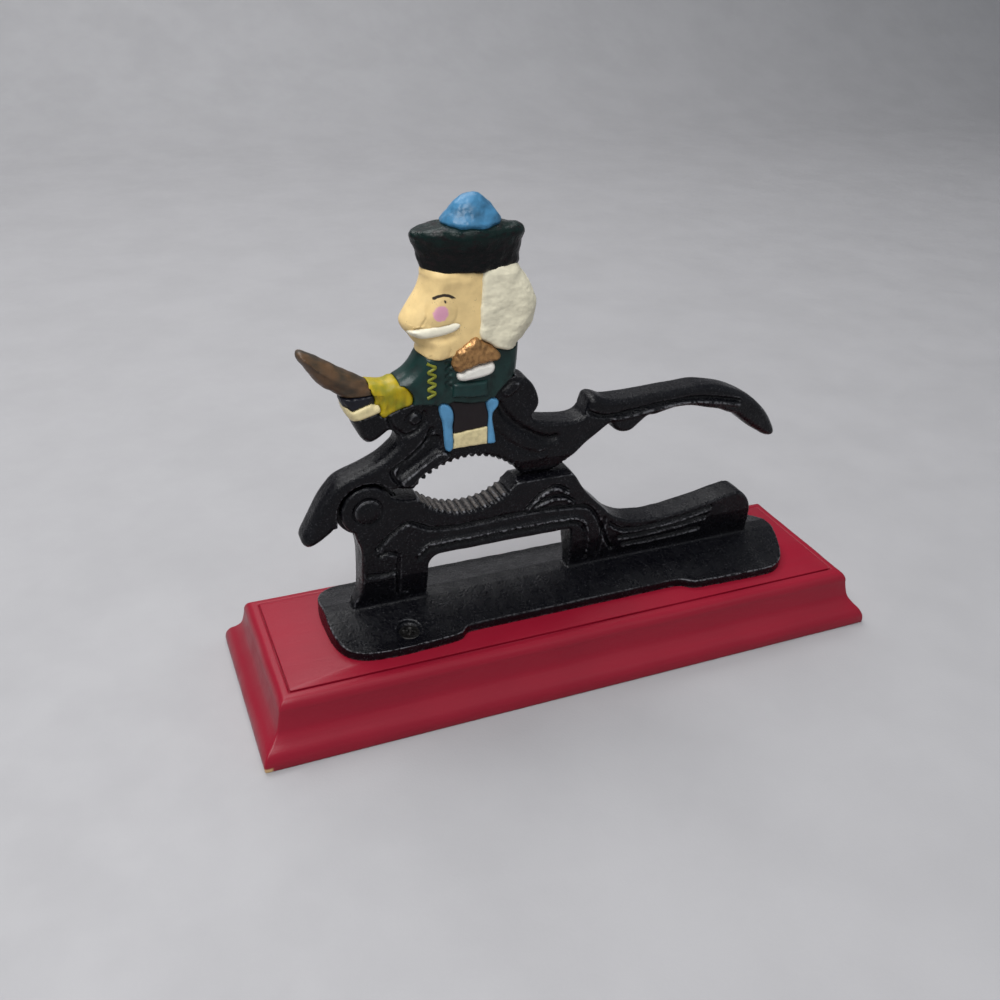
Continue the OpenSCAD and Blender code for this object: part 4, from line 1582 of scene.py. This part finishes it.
class NUTCRACKER_OT_lower_casting(bpy.types.Operator):
    """Build the lower jaw, legs, foot and handle as one casting"""

    bl_idname = "nutcracker.lower_casting"
    bl_label = "Lower casting"

    def execute(self, context):
        casting = settings(context, "casting")
        shape = Shape(fine_mesh("lower_casting_cast", ["lower_casting"], casting.cell))
        plates = Plates(["lower_casting"], STAND)
        half = np.clip(half_thickness("lower_casting", shape.xz, CASTING_HALF), 2.2, CASTING_HALF)
        web = ease(shape.co[:, 2], BASE_TOP + 9.5, BASE_TOP + 14)
        emboss(shape, lower_relief(shape.xz, casting.groove) * web, half)
        round_edges(shape, plates, half, 0.6 * casting.edge_in, 0.55 * casting.edge_up, web)
        shape.relax(2)
        floor = shape.co[:, 2] < BASE_TOP + 0.4
        shape.co[floor, 2] = BASE_TOP
        uneven = ripple(shape.co, 11, casting.ripple, 1) * ~floor * ease(from_pin(shape.xz), 12, 15)
        shape.co += shape.normals() * uneven[:, None]
        shape.store()
        obj = object_of("lower_casting_cast", shape.mesh)
        thin_out(obj, MOST_TRIANGLES)
        smooth_shading(obj.data)
        settle(obj, STAND, shared_iron(context), ["lower_casting"])
        return {"FINISHED"}


def shared_iron(context):
    """The castings' enamel, mixed once."""
    return bpy.data.materials.get("black_enamel_on_iron") or iron_material(settings(context, "paint"))


class NUTCRACKER_OT_lever_casting(bpy.types.Operator):
    """Build the black part of the lever: horse, legs and handle"""

    bl_idname = "nutcracker.lever_casting"
    bl_label = "Lever casting"

    def execute(self, context):
        casting = settings(context, "casting")
        plates = Plates(PLATE_NODES, LEVER)
        backing = ["blue_straps", "saddle_panel", "saddle_cloth"]
        shape = Shape(fine_mesh("lever_casting_cast", ["lever_casting", *backing], casting.cell))
        out = shape.co[:, 1] - MID_Y
        shape.co[:, 1] = MID_Y + np.clip(out, -CASTING_HALF, CASTING_HALF)
        half = np.clip(half_thickness("lever_casting", shape.xz, CASTING_HALF), 1.9, CASTING_HALF)
        soften_seams(shape, plates.seams("lever_casting", backing), CASTING_HALF, 0.5)
        emboss(shape, lever_relief(shape.xz, casting.groove), half)
        x = shape.co[:, 0]
        front = 1 - ease(x, -62, -50)
        grip = 0.5 * ease(x, 0, 8) + 0.5 * ease(x, 60, 78)
        limbs = front + grip
        edge_in = casting.edge_in + (casting.limb_edge - casting.edge_in) * 0.7 * limbs
        edge_up = casting.edge_up + (casting.limb_edge - casting.edge_up) * limbs
        round_edges(shape, plates, half, edge_in, edge_up, ease(from_pin(shape.xz), 11.5, 13))
        shape.relax(3)
        uneven = ripple(shape.co, 11, casting.ripple, 2) * ease(from_pin(shape.xz), 12, 15)
        shape.co += shape.normals() * uneven[:, None]
        shape.store()
        obj = object_of("lever_casting_cast", shape.mesh)
        thin_out(obj, MOST_TRIANGLES)
        smooth_shading(obj.data)
        settle(obj, LEVER, shared_iron(context), ["lever_casting"])
        return {"FINISHED"}


class NUTCRACKER_OT_painted_forms(bpy.types.Operator):
    """Build the painted forms of the soldier, the mane, the bridle and the saddle"""

    bl_idname = "nutcracker.painted_forms"
    bl_label = "Painted forms"

    def execute(self, context):
        casting = settings(context, "casting")
        paint = settings(context, "paint")
        plates = Plates(PLATE_NODES, LEVER)
        for node, form in FORMS.items():
            mesh = work_form(node, form, plates, casting.trim_cell)
            piece = object_of(node + "_form", mesh)
            material = skin_material(paint) if node == "head" else form_material(form.paint, paint)
            settle(piece, LEVER, material, [node])
        return {"FINISHED"}


class NUTCRACKER_OT_hat(bpy.types.Operator):
    """Build the hat and its pompom"""

    bl_idname = "nutcracker.hat"
    bl_label = "Hat and pompom"

    def execute(self, context):
        paint = settings(context, "paint")
        hat = object_of("hat_form", hat_mesh())
        settle(hat, LEVER, hat_material(paint), ["hat"])
        pompom = object_of("pompom_form", pompom_mesh())
        settle(pompom, LEVER, form_material("tuft", paint), ["pompom"])
        return {"FINISHED"}


class NUTCRACKER_OT_braid(bpy.types.Operator):
    """Build the zigzag braid down both sides of the jacket"""

    bl_idname = "nutcracker.braid"
    bl_label = "Jacket braid"

    def execute(self, context):
        paint = settings(context, "paint")
        material = form_material("braid", paint)
        low, high = box_mm("jacket_braid")
        jacket = bpy.data.objects["jacket_form"]
        tree = BVHTree.FromObject(jacket, context.evaluated_depsgraph_get())
        maker = zigzag_tree()
        parts = []
        for side in (-1, 1):
            obj = maker.run(
                "jacket_braid_half",
                {
                    "Material": material,
                    "Points": 9,
                    "Top": (0, 0, 0),
                    "Width": (high.x - low.x - 0.8) * MM,
                    "Drop": -(high.z - low.z - 1.0) / 8 * MM,
                    "Thickness": 0.56 * MM,
                    "Bend": 0.35 * MM,
                },
            )
            obj.data.transform(Matrix.Translation(((low.x + 0.4) * MM, 0, (high.z - 0.4) * MM)))
            for vertex in obj.data.vertices:
                start = Vector((vertex.co.x, side, vertex.co.z))
                hit = tree.ray_cast(start, Vector((0, -side, 0)))[0]
                face = hit.y if hit else (MID_Y + side * 6.5) * MM
                vertex.co.y = face + vertex.co.y
            parts.append(obj)
        bm = bmesh.new()
        for part in parts:
            bm.from_mesh(part.data)
        mesh = bpy.data.meshes.new("jacket_braid_cord")
        bmesh.ops.recalc_face_normals(bm, faces=bm.faces)
        bm.to_mesh(mesh)
        bm.free()
        for part in parts:
            bpy.data.objects.remove(part)
        smooth_shading(mesh)
        braid = object_of("jacket_braid_cord", mesh)
        settle(braid, LEVER, material, ["jacket_braid"])
        return {"FINISHED"}


class NUTCRACKER_OT_teeth(bpy.types.Operator):
    """Build the two rows of teeth round the nut"""

    bl_idname = "nutcracker.teeth"
    bl_label = "Teeth"

    def execute(self, context):
        teeth = settings(context, "teeth")
        step = math.degrees(teeth.pitch / teeth.row_radius)
        tooth = tooth_mesh(teeth.radius, CASTING_HALF - 0.35)
        pattern = bpy.data.objects.new("tooth_pattern", tooth)
        maker = tooth_row_tree()
        nut_x, contact_z = -41, 76.0  # middle of the nut, and height where the jaws meet
        rows = (
            ("lower_teeth", STAND, contact_z + 16.8, 228 + step / 2, 13),
            ("upper_teeth", LEVER, contact_z - 13.4, 48 + step / 2, 14),
        )
        bare = bare_iron_material(settings(context, "paint"))
        for name, body, centre_z, start, count in rows:
            coat = bare if body == STAND else shared_iron(context)
            obj = maker.run(
                name,
                {
                    "Tooth": pattern,
                    "Material": coat,
                    "Count": count,
                    "Radius": (teeth.row_radius + 0.45) * MM,
                    "Start": math.radians(start),
                    "Step": math.radians(step),
                    "Centre": (nut_x * MM, MID_Y * MM, centre_z * MM),
                    "Seed": 4,
                },
            )
            smooth_shading(obj.data, math.radians(50))
            settle(obj, body, coat)
        bpy.data.objects.remove(pattern)
        return {"FINISHED"}


class NUTCRACKER_OT_hardware(bpy.types.Operator):
    """Build the hinge rivet and the two screws"""

    bl_idname = "nutcracker.hardware"
    bl_label = "Rivet and screws"

    def execute(self, context):
        hardware = settings(context, "hardware")
        paint = settings(context, "paint")
        rivet = object_of("hinge_rivet", rivet_mesh(hardware))
        settle(rivet, STAND, shared_iron(context), ["hinge_pin"])
        low, high = box_mm("base_screws")
        reach = hardware.head_radius
        steel = steel_material("stained_steel", tuple(paint.steel))
        pattern = bpy.data.objects.new("screw_pattern", screw_mesh(hardware))
        screws = screw_pair_tree().run(
            "base_screws_threaded",
            {
                "Screw": pattern,
                "Material": steel,
                "First": ((low.x + reach) * MM, (low.y + reach) * MM, high.z * MM),
                "Last": ((high.x - reach) * MM, (high.y - reach) * MM, high.z * MM),
                "Seed": 3,
            },
        )
        bpy.data.objects.remove(pattern)
        smooth_shading(screws.data, math.radians(35))
        settle(screws, STAND, steel, ["base_screws"])
        return {"FINISHED"}


class NUTCRACKER_OT_stage(bpy.types.Operator):
    """Set up the pale floor, the soft lights and the camera"""

    bl_idname = "nutcracker.stage"
    bl_label = "Stage"

    def execute(self, context):
        stage = settings(context, "stage")
        paint = settings(context, "paint")
        floor = object_of("floor", self.sweep())
        floor.data.materials.append(floor_material(paint))
        self.lights(context)
        camera = bpy.data.cameras.new("camera")
        camera.sensor_width = 36
        camera.lens = camera.sensor_width / 2 / math.tan(stage.field / 2)
        camera.clip_start = 0.01
        holder = bpy.data.objects.new("camera", camera)
        context.scene.collection.objects.link(holder)
        holder.location = stage.place
        aim = Euler((math.pi / 2 - stage.elevation, 0, -stage.azimuth)).to_matrix()
        roll = Euler((0, 0, stage.roll)).to_matrix()
        holder.rotation_euler = (aim @ roll).to_euler()
        context.scene.camera = holder
        return {"FINISHED"}

    def sweep(self):
        """Floor that curves up into a backdrop, in metres."""
        across, along = 4.0, 48
        bend, radius = 0.9, 0.5  # where the floor starts to curve up, and how tightly
        profile = [(-3.0, 0.0), (bend, 0.0)]
        for k in range(1, 13):
            a = math.radians(90 * k / 12)
            profile.append((bend + radius * math.sin(a), radius * (1 - math.cos(a))))
        profile.append((bend + radius, 3.2))
        points = [(-across + 2 * across * i / along, y, z) for y, z in profile for i in range(along + 1)]
        faces = []
        row = along + 1
        for j in range(len(profile) - 1):
            for i in range(along):
                a = j * row + i
                faces.append((a, a + 1, a + row + 1, a + row))
        mesh = bpy.data.meshes.new("floor")
        mesh.from_pydata(points, [], faces)
        smooth_shading(mesh)
        return mesh

    def lights(self, context):
        """A pale sky and four large soft lights."""
        world = bpy.data.worlds.new("studio")
        world.use_nodes = True
        background = world.node_tree.nodes["Background"]
        background.inputs["Color"].default_value = (0.87, 0.93, 1.0, 1)
        background.inputs["Strength"].default_value = 0.36
        context.scene.world = world
        context.scene.view_settings.view_transform = "Standard"
        middle = Vector((0, 0, 0.06))
        for name, place, size, power in (
            ("key", (-0.48, -0.50, 1.15), 0.8, 15),
            ("rim", (-0.40, 0.55, 1.05), 0.35, 2.6),
            ("front", (0.7, -1.4, 1.0), 1.2, 2),
            ("backdrop", (0.0, 0.9, 1.6), 1.4, 19),
        ):
            light = bpy.data.lights.new(name, "AREA")
            light.shape = "DISK"
            light.size = size
            light.energy = power
            lamp = bpy.data.objects.new(name, light)
            context.scene.collection.objects.link(lamp)
            lamp.location = place
            aim = middle - lamp.location
            lamp.rotation_euler = aim.to_track_quat("-Z", "Y").to_euler()


class NUTCRACKER_PT_panel(bpy.types.Panel):
    """Steps and settings in the sidebar"""

    bl_label = "Hinged nutcracker"
    bl_idname = "NUTCRACKER_PT_panel"
    bl_space_type = "VIEW_3D"
    bl_region_type = "UI"
    bl_category = "Nutcracker"

    def draw(self, context):
        for step in STEPS:
            self.layout.operator(step.bl_idname)
        for group, kind in GROUPS.items():
            column = self.layout.column(align=True)
            column.label(text=group.capitalize())
            for name in kind.__annotations__:
                column.prop(settings(context, group), name)


STEPS = (
    NUTCRACKER_OT_stage,
    NUTCRACKER_OT_base,
    NUTCRACKER_OT_lower_casting,
    NUTCRACKER_OT_lever_casting,
    NUTCRACKER_OT_painted_forms,
    NUTCRACKER_OT_hat,
    NUTCRACKER_OT_braid,
    NUTCRACKER_OT_teeth,
    NUTCRACKER_OT_hardware,
)
CLASSES = (*GROUPS.values(), *STEPS, NUTCRACKER_PT_panel)


def register():
    """Registers the classes and hangs the settings on the scene."""
    for cls in CLASSES:
        bpy.utils.register_class(cls)
    for group, kind in GROUPS.items():
        setattr(bpy.types.Scene, "nutcracker_" + group, PointerProperty(type=kind))


def unregister():
    """Takes the settings and the classes away again."""
    for group in GROUPS:
        delattr(bpy.types.Scene, "nutcracker_" + group)
    for cls in reversed(CLASSES):
        bpy.utils.unregister_class(cls)


def main():
    register()
    for step in STEPS:
        group, name = step.bl_idname.split(".")
        getattr(getattr(bpy.ops, group), name)()


if __name__ == "__main__":
    main()
